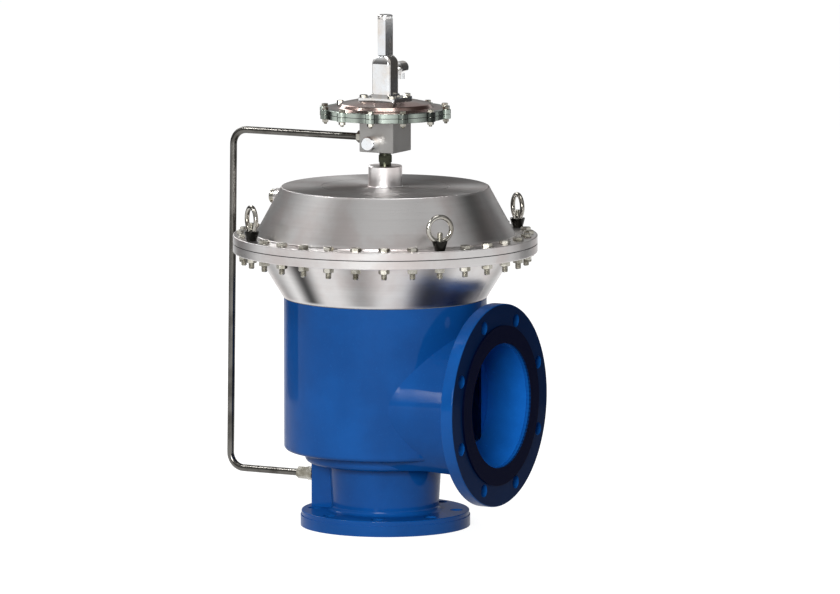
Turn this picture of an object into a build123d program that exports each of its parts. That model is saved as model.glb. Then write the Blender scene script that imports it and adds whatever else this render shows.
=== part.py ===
"""Pilot-operated relief valve with a DN150 inlet below and a DN200 outlet at its side.

Millimetres. The origin is the centre of the inlet flange's sealing face, +Z runs up the stem
and +X points out of the outlet. The pilot stands on top of the diaphragm casing.
"""

import os
from math import cos, radians, sin, sqrt, tan

from build123d import *

os.makedirs("parts", exist_ok=True)

# Fits shared by all pieces
running_gap = 0.05
thread_gap = 0.05
bolt_hole_gap = 0.5
pilot_hole_gap = 0.3
seal_gap = 0.05

# Edges shared by all pieces, and how far a shape that is joined or cut reaches past its face
fine_edge = 0.8
small_edge = 1
plain_edge = 1.5
round_edge = 2
overlap = 2

# Inlet flange, neck and ledge of the body
inlet_bore_r = 75
inlet_flange_r = 142.5
inlet_disc = 26
inlet_circle_r = 120
flange_hole_r = 11
flange_hole_count = 8
rim_step = 1.5
rim_step_height = 18
neck_foot_r = 89.5
neck_top_r = 94.5
neck_height = 82
ledge_r = 135
ledge_height = 21
neck_foot_fillet = 8
neck_top_fillet = 4
ledge_fillet = 9
ledge_crease = 4

# Bowl of the body
bowl_r = 170
bowl_wall = 9
bowl_height = 256.5
bowl_floor = 12
top_rim_width = 30
top_rim_depth = 22
bowl_edge = 7
bowl_corner = 10

# Outlet branch
outlet_below_rim = 169.5
outlet_past_bowl = 50.6
outlet_flange_r = 170
outlet_disc = 22
face_height = 3
outlet_face_r = 134
outlet_bore_r = 103
outlet_mouth_r = 104.5
outlet_mouth_depth = 8
outlet_circle_r = 147.5
branch_back_r = 117.5
branch_angle = 15
branch_root_x = 62
branch_fillet = 9
underside_inset = 10
trough_x = 140
trough_wall = 7

# Tapping boss of the sense line, on the neck
tap_reach = 125.5
tap_width = 64
tap_z = 76
tap_thread_r = 6.5
tap_thread_depth = 14
tap_bore_r = 4.5
tap_boss_edge = 3

# Nozzle, pallet and main stem
nozzle_bore_step = 1
nozzle_thread_r = 82
nozzle_thread_length = 36
nozzle_collar_r = 94
nozzle_collar = 10
seat_height = 27
seat_lip = 3.5
seat_lip_height = 4
seat_flare = 9
o_ring_r = 1.7
o_ring_inset = 5
pallet_margin = 4
pallet_thickness = 15
insert_depth = 4
insert_past_seat = 11
insert_inside_seat = 9
retainer_thickness = 4
retainer_lip = 4
pallet_skirt = 1
pallet_rim = 4
pallet_hub = 14
stem_r = 10
stud_r = 8
stem_nut_af = 24
stem_nut_height = 13
stud_tip = 3
main_travel = 38

# Diaphragm casing
gasket_thickness = 1.5
casing_foot_over = 1
casing_wall = 7
casing_floor = 8
casing_cone_inset = 22.5
casing_cone_height = 75.5
casing_flange_margin = 15
lower_flange = 14
upper_flange = 13
diaphragm_thickness = 1.5
dome_height = 81
dome_top_r = 174
dome_top = 6
dome_boss_r = 28.5
dome_boss_height = 35
dome_edge = 2.5
dome_corner = 5
dome_lip = 3
dome_lip_height = 6
foot_step = 3
foot_step_height = 1.2
top_ring_r = 107
boss_ring_r = 40
ring_width = 1.2
ring_depth = 0.6
guide_hub_r = 26
guide_hub_above = 17
guide_hub_below = 15
guide_bore_r = 13
bush_length = 14
rib_count = 6
rib_thickness = 7
rib_height = 12
balance_hole_r = 7
balance_circle_r = 98
plate_r = 152
plate_thickness = 4
screw_count = 12
screw_r = 5
screw_depth = 20
screw_head = 1.6
screw_socket = 0.8
screw_point = 2
hub_taper = 3
casing_corner = 5
rib_foot = 2
seal_rest = 2
sheet_margin = 3
sheet_clamp = 6
plate_rim = 4

# Closing spring
closing_spring_r = 34
closing_wire_r = 2.5
closing_turns = 5
spring_gap = 0.3

# Casing fasteners and lifting eyes
bolt_count = 32
bolt_circle_r = 240
bolt_r = 5
bolt_af = 16
bolt_head = 6.5
nut_height = 8.4
bolt_end = 10
eye_every = 8
eye_first = 4
eye_ring_r = 22.6
eye_section_radial = 4.2
eye_section_axial = 6.6
eye_base_height = 16.5
eye_base_foot_r = 10
eye_base_top_r = 13
eye_centre = 35.5
eye_stud_end = 30

# Side port of the dome
port_z_above_flange = 52
port_inside_foot = 9.5
port_r = 14
port_bore_r = 6
plug_head_r = 12
plug_head = 10
port_weld = 8
port_drill = 22
plug_thread = 14
plug_socket_r = 4
plug_socket = 6

# Hex nipple and pilot block
nipple_thread_r = 8.4
nipple_neck_r = 10
nipple_bore_r = 4
nipple_lower_neck = 6
nipple_hex = 11
nipple_hex_af = 22
nipple_upper_neck = 7
nipple_thread = 15
block_width = 64
block_height = 55
block_thread_depth = 9
sense_port_above = 21.5
sense_drill_r = 3
block_screw_at = 22
vent_port_above = 17
vent_port_x = -4
vent_cap_r = 12.15
vent_cap_length = 24
seat_ring_r = 9
seat_ring_height = 6
chamber_r = 10
chamber_height = 16
bush_r = 8
drill_inset = 2
cap_wall = 2
cap_slot = 4
plug_tail = 12
cap_floor = 8
cross_drill = 4
block_screw_depth = 13
block_screw_head = 1.8
block_screw_head_r = 1.5

# Sense tube and its fittings
tube_r = 6
tube_wall = 1.5
tube_top_gap = 36
tube_bottom_gap = 44
tube_bend_r = 25
fitting_r = 6.5
fitting_hex_af = 20
upper_hex = 8
upper_nut = 11
lower_shank = 12.5
lower_hex = 11
lower_nut = 17.6
nut_af = 18

# Pilot diaphragm casings
pilot_rim_r = 105
pilot_lobe_r = 8.5
pilot_circle_r = 104
pilot_bolt_count = 12
pilot_bolt_r = 3
pilot_bolt_af = 10
pilot_bolt_head = 4.5
pilot_nut = 5
pilot_stand = 2
pilot_flange = 7.5
pilot_sheet = 1
sheet_edge = 0.5
pilot_floor = 4
pilot_chamber_r = 86
pilot_step_out_r = 88
pilot_step_in_r = 75
pilot_step_height = 7.5
pilot_dome_height = 13
pilot_flat_r = 49
pilot_wall = 4
pilot_pad = 6
pilot_pad_rise = 16
pilot_slope = 8
pilot_dome_lip = 5
pilot_dome_fillet = 3
pilot_top_fillet = 4
screw_boss_r = 7
screw_boss = 10
pilot_shank = 3
pilot_plate_r = 58
pilot_plate = 3
pilot_stem_r = 4
pilot_travel = 3
poppet_r = 6.5
poppet_height = 5
poppet_taper = 2
small_nut_af = 13
small_nut = 4

# Bonnet, range spring and adjuster
bonnet_plate_width = 68
bonnet_plate = 5
bonnet_foot_width = 40
bonnet_foot = 5
tower_width = 34
tower_height = 51
tower_edge_r = 4
foot_taper = 18
plate_corner_r = 3
shoulder_height = 14
shoulder_share = 0.6
shoulder_narrowing = 2.6
shoulder_top_width = 25
spigot_r = 9
spigot_height = 8
spring_bore_r = 13.5
bonnet_screw_r = 4
bonnet_screw_af = 12
bonnet_screw_head = 5
bonnet_screw_at = 26.5
bonnet_screw_depth = 8
spring_r = 10
spring_wire_r = 1.6
spring_turns = 6
button_r = 12.5
button_thickness = 6
button_floor = 1.5
button_spigot = 3
button_cavity = 1.2
button_rim = 3
spigot_gap = 0.4
set_up = 6
set_screw_r = 4
set_screw_above = 34
slot_width = 1.4
slot_depth = 2.5
lock_nut_af = 13
lock_nut_height = 6.5
cap_gasket = 0.8
cap_af = 25.6
cap_height = 67.2
cap_bore_r = 10.2
cap_groove = 2
cap_groove_depth = 1.8
cap_button = 5
cap_edge = 2.5
cap_room = 4
cap_drill_point = 3
vent_axis_above = 44
vent_neck_r = 6
vent_neck = 21
vent_barrel_r = 11
vent_barrel = 25
vent_collar = 4
vent_stub_r = 6
vent_stub_drop = 19
vent_seat = 3
vent_wall = 2
vent_mouth_wall = 1
screen_thickness = 0.8

# Levels and places that follow from the sizes
flange_top = inlet_disc
ledge_bottom = flange_top + neck_height
bowl_bottom = ledge_bottom + ledge_height
bowl_top = bowl_bottom + bowl_height
floor_top = bowl_bottom + bowl_floor
rim_in_r = bowl_r - top_rim_width
rim_screw_circle_r = rim_in_r + 12
outlet_z = bowl_top - outlet_below_rim
outlet_face_x = bowl_r + outlet_past_bowl
disc_front_x = outlet_face_x - face_height
disc_back_x = disc_front_x - outlet_disc
branch_slope = tan(radians(branch_angle))
branch_root_r = branch_back_r + (disc_back_x - branch_root_x) * branch_slope
trough_floor_z = outlet_z - outlet_bore_r - trough_wall

seat_z = floor_top + seat_height
collar_top = floor_top + nozzle_collar
nozzle_foot = floor_top - nozzle_thread_length
pallet_base = seat_z
nozzle_bore_r = inlet_bore_r - nozzle_bore_step
insert_out_r = inlet_bore_r + insert_past_seat
insert_in_r = inlet_bore_r - insert_inside_seat
pallet_r = insert_out_r + pallet_margin
pallet_top = pallet_base + pallet_thickness

casing_base = bowl_top + gasket_thickness
casing_cone_r = bolt_circle_r - casing_cone_inset
casing_flange_r = bolt_circle_r + casing_flange_margin
casing_floor_top = casing_base + casing_floor
lower_flange_bottom = casing_base + casing_cone_height
lower_flange_top = lower_flange_bottom + lower_flange
upper_flange_bottom = lower_flange_top + diaphragm_thickness
upper_flange_top = upper_flange_bottom + upper_flange
dome_z = upper_flange_top + dome_height
dome_ceiling = dome_z - dome_top
boss_top = dome_z + dome_boss_height
casing_foot_r = bowl_r + casing_foot_over
sheet_rest = upper_flange_bottom - main_travel / 2 - diaphragm_thickness
hub_top = casing_floor_top + guide_hub_above
hub_bottom = casing_base - guide_hub_below

tube_top_x = casing_flange_r + tube_top_gap
tube_bottom_x = casing_flange_r + tube_bottom_gap
nipple_hex_z = boss_top + nipple_lower_neck
block_z = nipple_hex_z + nipple_hex + nipple_upper_neck
block_top = block_z + block_height
sense_z = block_z + sense_port_above
vent_port_z = block_z + vent_port_above
half_block = block_width / 2

pilot_rim_z = block_top + pilot_stand
pilot_sheet_z = pilot_rim_z + pilot_flange
pilot_upper_z = pilot_sheet_z + pilot_sheet
pilot_top_z = pilot_upper_z + pilot_flange
pilot_chamber_z = block_top + pilot_floor
bonnet_z = pilot_top_z + pilot_dome_height
bonnet_plate_top = bonnet_z + bonnet_plate
tower_z = bonnet_plate_top + bonnet_foot
shoulder_z = tower_z + tower_height
bonnet_top = shoulder_z + shoulder_height
spigot_top = bonnet_top + spigot_height
spring_ceiling = shoulder_z
set_button_top = spring_ceiling - set_up - overlap
set_button_z = set_button_top - button_thickness
vent_z = bonnet_plate_top + vent_axis_above


def corners(sketch, *points):
    """The corner of a sketch nearest to each of the given points."""
    return [sketch.vertices().sort_by_distance(point)[0] for point in points]


def around(radius, numbers, count, first_angle):
    """Places on a circle, each turned so that its own X axis points outwards."""
    places = []
    for number in numbers:
        angle = first_angle + number * 360 / count
        x = radius * cos(radians(angle))
        y = radius * sin(radians(angle))
        places.append(Location((x, y, 0), (0, 0, angle)))
    return places


half_pitch = 180 / bolt_count
eye_numbers = [n for n in range(bolt_count) if n % eye_every == eye_first]
bolt_numbers = [n for n in range(bolt_count) if n % eye_every != eye_first]
all_places = around(bolt_circle_r, range(bolt_count), bolt_count, half_pitch)
bolt_places = around(bolt_circle_r, bolt_numbers, bolt_count, half_pitch)
eye_places = around(bolt_circle_r, eye_numbers, bolt_count, half_pitch)
pilot_places = around(pilot_circle_r, range(pilot_bolt_count), pilot_bolt_count, 180 / pilot_bolt_count)
screw_places = around(rim_screw_circle_r, range(screw_count), screw_count, 180 / screw_count)

# Body: the outlet branch first, so that its flat underside is cut before the bowl joins it
with BuildPart() as body_casting:
    with BuildSketch(Plane.XZ) as branch:
        with Locations((0, outlet_z)):
            Polygon(
                (branch_root_x, 0),
                (branch_root_x, branch_root_r),
                (disc_back_x, branch_back_r),
                (disc_back_x, outlet_flange_r),
                (disc_front_x, outlet_flange_r),
                (disc_front_x, outlet_face_r),
                (outlet_face_x, outlet_face_r),
                (outlet_face_x, 0),
                align=None,
            )
        fillet(corners(branch, (disc_back_x, outlet_z + branch_back_r)), branch_fillet)
        fillet(corners(branch, (disc_back_x, outlet_z + outlet_flange_r)), round_edge)
        fillet(corners(branch, (disc_front_x, outlet_z + outlet_flange_r)), round_edge)
    revolve(axis=Axis((0, 0, outlet_z), (1, 0, 0)))
    with BuildSketch(Plane.XZ.offset(-bowl_r)):
        Polygon(
            (0, 0),
            (0, ledge_bottom + overlap),
            (ledge_r - underside_inset, ledge_bottom + overlap),
            (disc_back_x - underside_inset, outlet_z - branch_back_r - overlap),
            (disc_back_x - underside_inset, 0),
            align=None,
        )
    extrude(amount=2 * bowl_r, mode=Mode.SUBTRACT)
    with BuildSketch(Plane.XZ) as outside:
        Polygon(
            (0, 0),
            (inlet_flange_r, 0),
            (inlet_flange_r, rim_step_height),
            (inlet_flange_r - rim_step, rim_step_height),
            (inlet_flange_r - rim_step, flange_top),
            (neck_foot_r, flange_top),
            (neck_top_r, ledge_bottom),
            (ledge_r, ledge_bottom),
            (ledge_r, bowl_bottom),
            (bowl_r, bowl_bottom),
            (bowl_r, bowl_top),
            (0, bowl_top),
            align=None,
        )
        fillet(corners(outside, (neck_foot_r, flange_top)), neck_foot_fillet)
        fillet(corners(outside, (neck_top_r, ledge_bottom)), neck_top_fillet)
        fillet(corners(outside, (ledge_r, ledge_bottom)), ledge_fillet)
        fillet(corners(outside, (ledge_r, bowl_bottom)), ledge_crease)
        fillet(corners(outside, (bowl_r, bowl_bottom)), bowl_edge)
        fillet(corners(outside, (inlet_flange_r - rim_step, flange_top)), plain_edge)
    revolve(axis=Axis.Z)
    with BuildSketch(Plane.XY.offset(flange_top)) as tapping_boss:
        with Locations((-tap_reach / 2, 0)):
            Rectangle(tap_reach, tap_width)
        fillet(
            corners(tapping_boss, (-tap_reach, -tap_width / 2), (-tap_reach, tap_width / 2)),
            tap_boss_edge,
        )
    extrude(amount=neck_height + overlap)
    # Bowl, inlet way and outlet way
    with BuildSketch(Plane.XZ) as hollow:
        Polygon(
            (0, floor_top),
            (bowl_r - bowl_wall, floor_top),
            (bowl_r - bowl_wall, bowl_top - top_rim_depth - top_rim_width + bowl_wall),
            (rim_in_r, bowl_top - top_rim_depth),
            (rim_in_r, bowl_top),
            (0, bowl_top),
            align=None,
        )
        fillet(corners(hollow, (bowl_r - bowl_wall, floor_top)), bowl_corner)
    revolve(axis=Axis.Z, mode=Mode.SUBTRACT)
    with BuildSketch(Plane.XZ):
        Polygon(
            (0, 0),
            (inlet_bore_r, 0),
            (inlet_bore_r, nozzle_foot),
            (nozzle_thread_r + thread_gap, nozzle_foot),
            (nozzle_thread_r + thread_gap, floor_top),
            (0, floor_top),
            align=None,
        )
    revolve(axis=Axis.Z, mode=Mode.SUBTRACT)
    with BuildSketch(Plane.XZ):
        with Locations((0, outlet_z)):
            Polygon(
                (trough_x, 0),
                (trough_x, outlet_bore_r),
                (outlet_face_x - outlet_mouth_depth, outlet_bore_r),
                (outlet_face_x - outlet_mouth_depth, outlet_mouth_r),
                (outlet_face_x, outlet_mouth_r),
                (outlet_face_x, 0),
                align=None,
            )
    revolve(axis=Axis((0, 0, outlet_z), (1, 0, 0)), mode=Mode.SUBTRACT)
    # Flange holes, tapped holes of the top rim, sense port
    with BuildSketch(Plane.XY):
        with PolarLocations(inlet_circle_r, flange_hole_count, start_angle=180 / flange_hole_count):
            Circle(flange_hole_r)
    extrude(amount=flange_top, mode=Mode.SUBTRACT)
    with BuildSketch(Plane.YZ.offset(disc_back_x - overlap)):
        with Locations((0, outlet_z)):
            with PolarLocations(outlet_circle_r, flange_hole_count, start_angle=180 / flange_hole_count):
                Circle(flange_hole_r)
    extrude(amount=outlet_disc + 2 * overlap, mode=Mode.SUBTRACT)
    with BuildSketch(Plane.XY.offset(bowl_top)):
        with Locations(*screw_places):
            Circle(screw_r + thread_gap)
    extrude(amount=-screw_depth, mode=Mode.SUBTRACT)
    with BuildSketch(Plane.YZ.offset(-tap_reach)):
        with Locations((0, tap_z)):
            Circle(tap_bore_r)
    extrude(amount=tap_reach - inlet_bore_r + overlap, mode=Mode.SUBTRACT)
    with BuildSketch(Plane.YZ.offset(-tap_reach)):
        with Locations((0, tap_z)):
            Circle(tap_thread_r + thread_gap)
    extrude(amount=tap_thread_depth, mode=Mode.SUBTRACT)

# Seat nozzle, screwed into the neck from inside the bowl, with its ring under the collar
o_ring_mid_r = nozzle_thread_r + o_ring_inset
groove_half = o_ring_r + seal_gap
with BuildPart() as seat_nozzle:
    with BuildSketch(Plane.XZ) as nozzle_profile:
        Polygon(
            (nozzle_bore_r, nozzle_foot),
            (nozzle_thread_r, nozzle_foot),
            (nozzle_thread_r, floor_top),
            (nozzle_collar_r, floor_top),
            (nozzle_collar_r, collar_top),
            (inlet_bore_r + seat_lip + seat_flare, collar_top),
            (inlet_bore_r + seat_lip, seat_z - seat_lip_height),
            (inlet_bore_r + seat_lip, seat_z),
            (nozzle_bore_r, seat_z),
            align=None,
        )
        with Locations((o_ring_mid_r, floor_top + groove_half)):
            Rectangle(2 * groove_half, 2 * groove_half, mode=Mode.SUBTRACT)
        chamfer(corners(nozzle_profile, (nozzle_collar_r, collar_top)), plain_edge)
    revolve(axis=Axis.Z)

with BuildPart() as nozzle_o_ring:
    with BuildSketch(Plane.XZ):
        with Locations((o_ring_mid_r, floor_top + groove_half)):
            Circle(o_ring_r)
    revolve(axis=Axis.Z)

# Pallet with a soft insert, held by a retainer plate and one nut on the stem
with BuildPart() as pallet:
    with BuildSketch(Plane.XZ) as pallet_profile:
        Polygon(
            (stud_r + running_gap, pallet_base + insert_depth),
            (insert_out_r, pallet_base + insert_depth),
            (insert_out_r, pallet_base - pallet_skirt),
            (pallet_r, pallet_base - pallet_skirt),
            (pallet_r, pallet_base + insert_depth + pallet_rim),
            (stem_r + pallet_hub, pallet_top),
            (stud_r + running_gap, pallet_top),
            align=None,
        )
        chamfer(corners(pallet_profile, (pallet_r, pallet_base - pallet_skirt)), fine_edge)
        fillet(corners(pallet_profile, (pallet_r, pallet_base + insert_depth + pallet_rim)), round_edge)
    revolve(axis=Axis.Z)

with BuildPart() as seat_insert:
    with BuildSketch(Plane.XY.offset(pallet_base)):
        Circle(insert_out_r - seal_gap)
        Circle(insert_in_r, mode=Mode.SUBTRACT)
    extrude(amount=insert_depth)

with BuildPart() as seat_retainer:
    with BuildSketch(Plane.XZ) as retainer_profile:
        Polygon(
            (stud_r + running_gap, pallet_base - retainer_thickness + insert_depth),
            (stud_r + running_gap, pallet_base + insert_depth),
            (insert_in_r - seal_gap, pallet_base + insert_depth),
            (insert_in_r - seal_gap, pallet_base),
            (insert_in_r + retainer_lip, pallet_base),
            (insert_in_r + retainer_lip / 2, pallet_base - retainer_lip / 2),
            (stem_nut_af, pallet_base - retainer_lip / 2),
            (stem_nut_af, pallet_base - retainer_thickness + insert_depth),
            align=None,
        )
    revolve(axis=Axis.Z)

nut_seat_z = pallet_base - retainer_thickness + insert_depth
with BuildPart() as pallet_nut:
    with BuildSketch(Plane.XY.offset(nut_seat_z)):
        RegularPolygon(stem_nut_af / 2, 6, major_radius=False)
        Circle(stud_r + thread_gap, mode=Mode.SUBTRACT)
    extrude(amount=-stem_nut_height)

stem_foot = nut_seat_z - stem_nut_height - stud_tip
stem_head = sheet_rest + diaphragm_thickness + plate_thickness + stem_nut_height + stud_tip + small_edge
with BuildPart() as main_stem:
    with BuildSketch(Plane.XZ) as stem_profile:
        Polygon(
            (0, stem_foot),
            (stud_r, stem_foot),
            (stud_r, pallet_top),
            (stem_r, pallet_top),
            (stem_r, sheet_rest - plate_thickness),
            (stud_r, sheet_rest - plate_thickness),
            (stud_r, stem_head),
            (0, stem_head),
            align=None,
        )
        chamfer(corners(stem_profile, (stud_r, stem_foot)), small_edge)
    revolve(axis=Axis.Z)

# Lower casing with the stem's guide hub, its gasket and its ring of screws
with BuildPart() as body_gasket:
    with BuildSketch(Plane.XY.offset(bowl_top)):
        Circle(bowl_r - small_edge)
        Circle(rim_in_r + small_edge, mode=Mode.SUBTRACT)
        with Locations(*screw_places):
            Circle(screw_r + bolt_hole_gap, mode=Mode.SUBTRACT)
    extrude(amount=gasket_thickness)

with BuildPart() as lower_casing:
    with BuildSketch(Plane.XZ) as lower_profile:
        Polygon(
            (guide_bore_r, hub_bottom),
            (guide_hub_r - hub_taper, hub_bottom),
            (guide_hub_r, casing_base),
            (casing_foot_r, casing_base),
            (casing_cone_r, lower_flange_bottom),
            (casing_flange_r, lower_flange_bottom),
            (casing_flange_r, lower_flange_top),
            (casing_cone_r - casing_wall, lower_flange_top),
            (casing_cone_r - casing_wall, lower_flange_bottom),
            (casing_foot_r - casing_wall, casing_floor_top),
            (guide_hub_r, casing_floor_top),
            (guide_hub_r, hub_top),
            (guide_bore_r, hub_top),
            align=None,
        )
        fillet(corners(lower_profile, (casing_foot_r - casing_wall, casing_floor_top)), casing_corner)
        fillet(corners(lower_profile, (casing_cone_r, lower_flange_bottom)), round_edge)
        fillet(corners(lower_profile, (casing_flange_r, lower_flange_bottom)), plain_edge)
    revolve(axis=Axis.Z)
    with BuildSketch(Plane.XY.offset(casing_floor_top)):
        with PolarLocations((guide_hub_r + rim_in_r) / 2 - rib_foot, rib_count):
            Rectangle(rim_in_r - guide_hub_r, rib_thickness)
    extrude(amount=rib_height)
    with BuildSketch(Plane.XY.offset(casing_base)):
        with PolarLocations(balance_circle_r, rib_count, start_angle=180 / rib_count):
            Circle(balance_hole_r)
        with Locations(*screw_places):
            Circle(screw_r + bolt_hole_gap)
    extrude(amount=casing_floor, mode=Mode.SUBTRACT)
    with BuildSketch(Plane.XY.offset(lower_flange_bottom)):
        with Locations(*all_places):
            Circle(bolt_r + bolt_hole_gap)
    extrude(amount=lower_flange, mode=Mode.SUBTRACT)

with BuildPart() as casing_screws:
    with BuildSketch(Plane.XY.offset(casing_floor_top)):
        with Locations(*screw_places):
            Circle(screw_head * screw_r)
    extrude(amount=2 * screw_r)
    with BuildSketch(Plane.XY.offset(casing_floor_top)):
        with Locations(*screw_places):
            Circle(screw_r)
    extrude(amount=-(screw_depth + gasket_thickness + casing_floor - screw_point))
    with BuildSketch(Plane.XY.offset(casing_floor_top + 2 * screw_r)):
        with Locations(*screw_places):
            RegularPolygon(screw_socket * screw_r, 6, major_radius=False)
    extrude(amount=-screw_r, mode=Mode.SUBTRACT)

with BuildPart() as stem_bushes:
    with BuildSketch(Plane.XY.offset(hub_bottom)):
        Circle(guide_bore_r - running_gap)
        Circle(stem_r + running_gap, mode=Mode.SUBTRACT)
    extrude(amount=bush_length)
    with BuildSketch(Plane.XY.offset(hub_top)):
        Circle(guide_bore_r - running_gap)
        Circle(stem_r + running_gap, mode=Mode.SUBTRACT)
    extrude(amount=-bush_length)

with BuildPart() as stem_seal:
    with BuildSketch(Plane.XZ):
        with Locations(((stem_r + guide_bore_r) / 2, hub_bottom + bush_length + seal_rest)):
            Circle((guide_bore_r - stem_r) / 2 - running_gap)
    revolve(axis=Axis.Z)

# Main diaphragm, hanging from the flange to its two plates
with BuildPart() as main_diaphragm:
    with BuildSketch(Plane.XZ) as sheet_profile:
        Polygon(
            (stud_r + running_gap, sheet_rest),
            (plate_r + sheet_margin, sheet_rest),
            (casing_cone_r - casing_wall - sheet_clamp, lower_flange_top),
            (casing_flange_r - small_edge, lower_flange_top),
            (casing_flange_r - small_edge, upper_flange_bottom),
            (casing_cone_r - casing_wall - sheet_clamp, upper_flange_bottom),
            (plate_r + sheet_margin, sheet_rest + diaphragm_thickness),
            (stud_r + running_gap, sheet_rest + diaphragm_thickness),
            align=None,
        )
    revolve(axis=Axis.Z)
    with BuildSketch(Plane.XY.offset(lower_flange_top)):
        with Locations(*all_places):
            Circle(bolt_r + bolt_hole_gap)
    extrude(amount=diaphragm_thickness, mode=Mode.SUBTRACT)

with BuildPart() as lower_diaphragm_plate:
    with BuildSketch(Plane.XZ) as lower_plate_profile:
        Polygon(
            (stud_r + running_gap, sheet_rest - plate_thickness),
            (plate_r - plate_rim, sheet_rest - plate_thickness),
            (plate_r - plate_rim, sheet_rest - plate_thickness - plate_rim),
            (plate_r, sheet_rest - plate_thickness - plate_rim),
            (plate_r, sheet_rest),
            (stud_r + running_gap, sheet_rest),
            align=None,
        )
        fillet(corners(lower_plate_profile, (plate_r, sheet_rest)), round_edge)
    revolve(axis=Axis.Z)

plate_seat_z = sheet_rest + diaphragm_thickness
with BuildPart() as upper_diaphragm_plate:
    with BuildSketch(Plane.XZ) as upper_plate_profile:
        Polygon(
            (stud_r + running_gap, plate_seat_z),
            (plate_r, plate_seat_z),
            (plate_r, plate_seat_z + plate_thickness + plate_rim),
            (plate_r - plate_rim, plate_seat_z + plate_thickness + plate_rim),
            (plate_r - plate_rim, plate_seat_z + plate_thickness),
            (stud_r + running_gap, plate_seat_z + plate_thickness),
            align=None,
        )
        fillet(corners(upper_plate_profile, (plate_r, plate_seat_z)), round_edge)
    revolve(axis=Axis.Z)

with BuildPart() as stem_nut:
    with BuildSketch(Plane.XY.offset(plate_seat_z + plate_thickness)):
        RegularPolygon(stem_nut_af / 2, 6, major_radius=False)
        Circle(stud_r + thread_gap, mode=Mode.SUBTRACT)
    extrude(amount=stem_nut_height)


def coil_spring(mid_r, wire_r, foot, top, turns):
    """A closed-end compression spring between two levels, as one swept wire."""
    lift = top - foot - 2 * wire_r
    with BuildPart() as spring:
        with BuildLine() as path:
            Helix(pitch=lift / turns, height=lift, radius=mid_r, center=(0, 0, foot + wire_r))
        with BuildSketch(path.line ^ 0):
            Circle(wire_r)
        sweep(is_frenet=True)
    return spring


# Light closing spring between the upper plate and the dome
closing_spring = coil_spring(
    closing_spring_r,
    closing_wire_r,
    plate_seat_z + plate_thickness + spring_gap,
    dome_ceiling - spring_gap,
    closing_turns,
)

# Upper casing: flange, coned dome, flat top, pilot boss and side port
port_z = upper_flange_top + port_z_above_flange
port_reach = casing_cone_r - port_inside_foot
dome_foot_z = upper_flange_top + foot_step_height
with BuildPart() as upper_casing:
    with BuildSketch(Plane.YZ.offset(-port_reach)):
        with Locations((0, port_z)):
            Circle(port_r)
    extrude(amount=port_reach - dome_top_r + port_weld)
    with BuildSketch(Plane.XZ) as dome_outside:
        Polygon(
            (0, upper_flange_bottom),
            (casing_flange_r, upper_flange_bottom),
            (casing_flange_r, upper_flange_top),
            (casing_cone_r + foot_step, upper_flange_top),
            (casing_cone_r + foot_step, dome_foot_z),
            (casing_cone_r, dome_foot_z),
            (dome_top_r, dome_z),
            (dome_boss_r, dome_z),
            (dome_boss_r, boss_top),
            (0, boss_top),
            align=None,
        )
        fillet(corners(dome_outside, (casing_flange_r, upper_flange_top)), plain_edge)
        fillet(corners(dome_outside, (casing_cone_r, dome_foot_z)), small_edge)
        fillet(corners(dome_outside, (dome_top_r, dome_z)), dome_edge)
        fillet(corners(dome_outside, (dome_boss_r, dome_z)), plain_edge)
        chamfer(corners(dome_outside, (dome_boss_r, boss_top)), plain_edge)
        with Locations((top_ring_r, dome_z), (boss_ring_r, dome_z)):
            Rectangle(ring_width, 2 * ring_depth, mode=Mode.SUBTRACT)
    revolve(axis=Axis.Z)
    with BuildSketch(Plane.XZ) as dome_inside:
        Polygon(
            (0, upper_flange_bottom),
            (casing_cone_r - casing_wall - dome_lip, upper_flange_bottom),
            (casing_cone_r - casing_wall - dome_lip, upper_flange_bottom + dome_lip_height),
            (dome_top_r - casing_wall, dome_ceiling),
            (0, dome_ceiling),
            align=None,
        )
        fillet(corners(dome_inside, (dome_top_r - casing_wall, dome_ceiling)), dome_corner)
    revolve(axis=Axis.Z, mode=Mode.SUBTRACT)
    with BuildSketch(Plane.XY.offset(dome_ceiling)):
        Circle(nipple_thread_r + thread_gap)
    extrude(amount=boss_top - dome_ceiling, mode=Mode.SUBTRACT)
    with BuildSketch(Plane.YZ.offset(-port_reach)):
        with Locations((0, port_z)):
            Circle(port_bore_r + thread_gap)
    extrude(amount=port_reach - dome_top_r + port_drill, mode=Mode.SUBTRACT)
    with BuildSketch(Plane.XY.offset(upper_flange_bottom)):
        with Locations(*all_places):
            Circle(bolt_r + bolt_hole_gap)
    extrude(amount=upper_flange, mode=Mode.SUBTRACT)

with BuildPart() as dome_plug:
    with BuildSketch(Plane.YZ.offset(-port_reach)):
        with Locations((0, port_z)):
            Circle(plug_head_r)
    extrude(amount=-plug_head)
    chamfer(dome_plug.faces().sort_by(Axis.X)[0].edges(), plain_edge)
    with BuildSketch(Plane.YZ.offset(-port_reach)):
        with Locations((0, port_z)):
            Circle(port_bore_r)
    extrude(amount=plug_thread)
    with BuildSketch(Plane.YZ.offset(-port_reach - plug_head)):
        with Locations((0, port_z)):
            RegularPolygon(plug_socket_r, 6, major_radius=False)
    extrude(amount=plug_socket, mode=Mode.SUBTRACT)

# Bolts, studs, nuts and lifting eyes of the diaphragm casing
shank_foot = lower_flange_bottom - nut_height - bolt_end
with BuildPart() as casing_bolts:
    with BuildSketch(Plane.XY.offset(upper_flange_top)):
        with Locations(*bolt_places):
            RegularPolygon(bolt_af / 2, 6, major_radius=False)
    extrude(amount=bolt_head)
    with BuildSketch(Plane.XY.offset(shank_foot)):
        with Locations(*bolt_places):
            Circle(bolt_r)
    extrude(amount=upper_flange_top - shank_foot)

with BuildPart() as eye_studs:
    with BuildSketch(Plane.XY.offset(shank_foot)):
        with Locations(*eye_places):
            Circle(bolt_r)
    extrude(amount=upper_flange_top + eye_stud_end - shank_foot)

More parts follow.
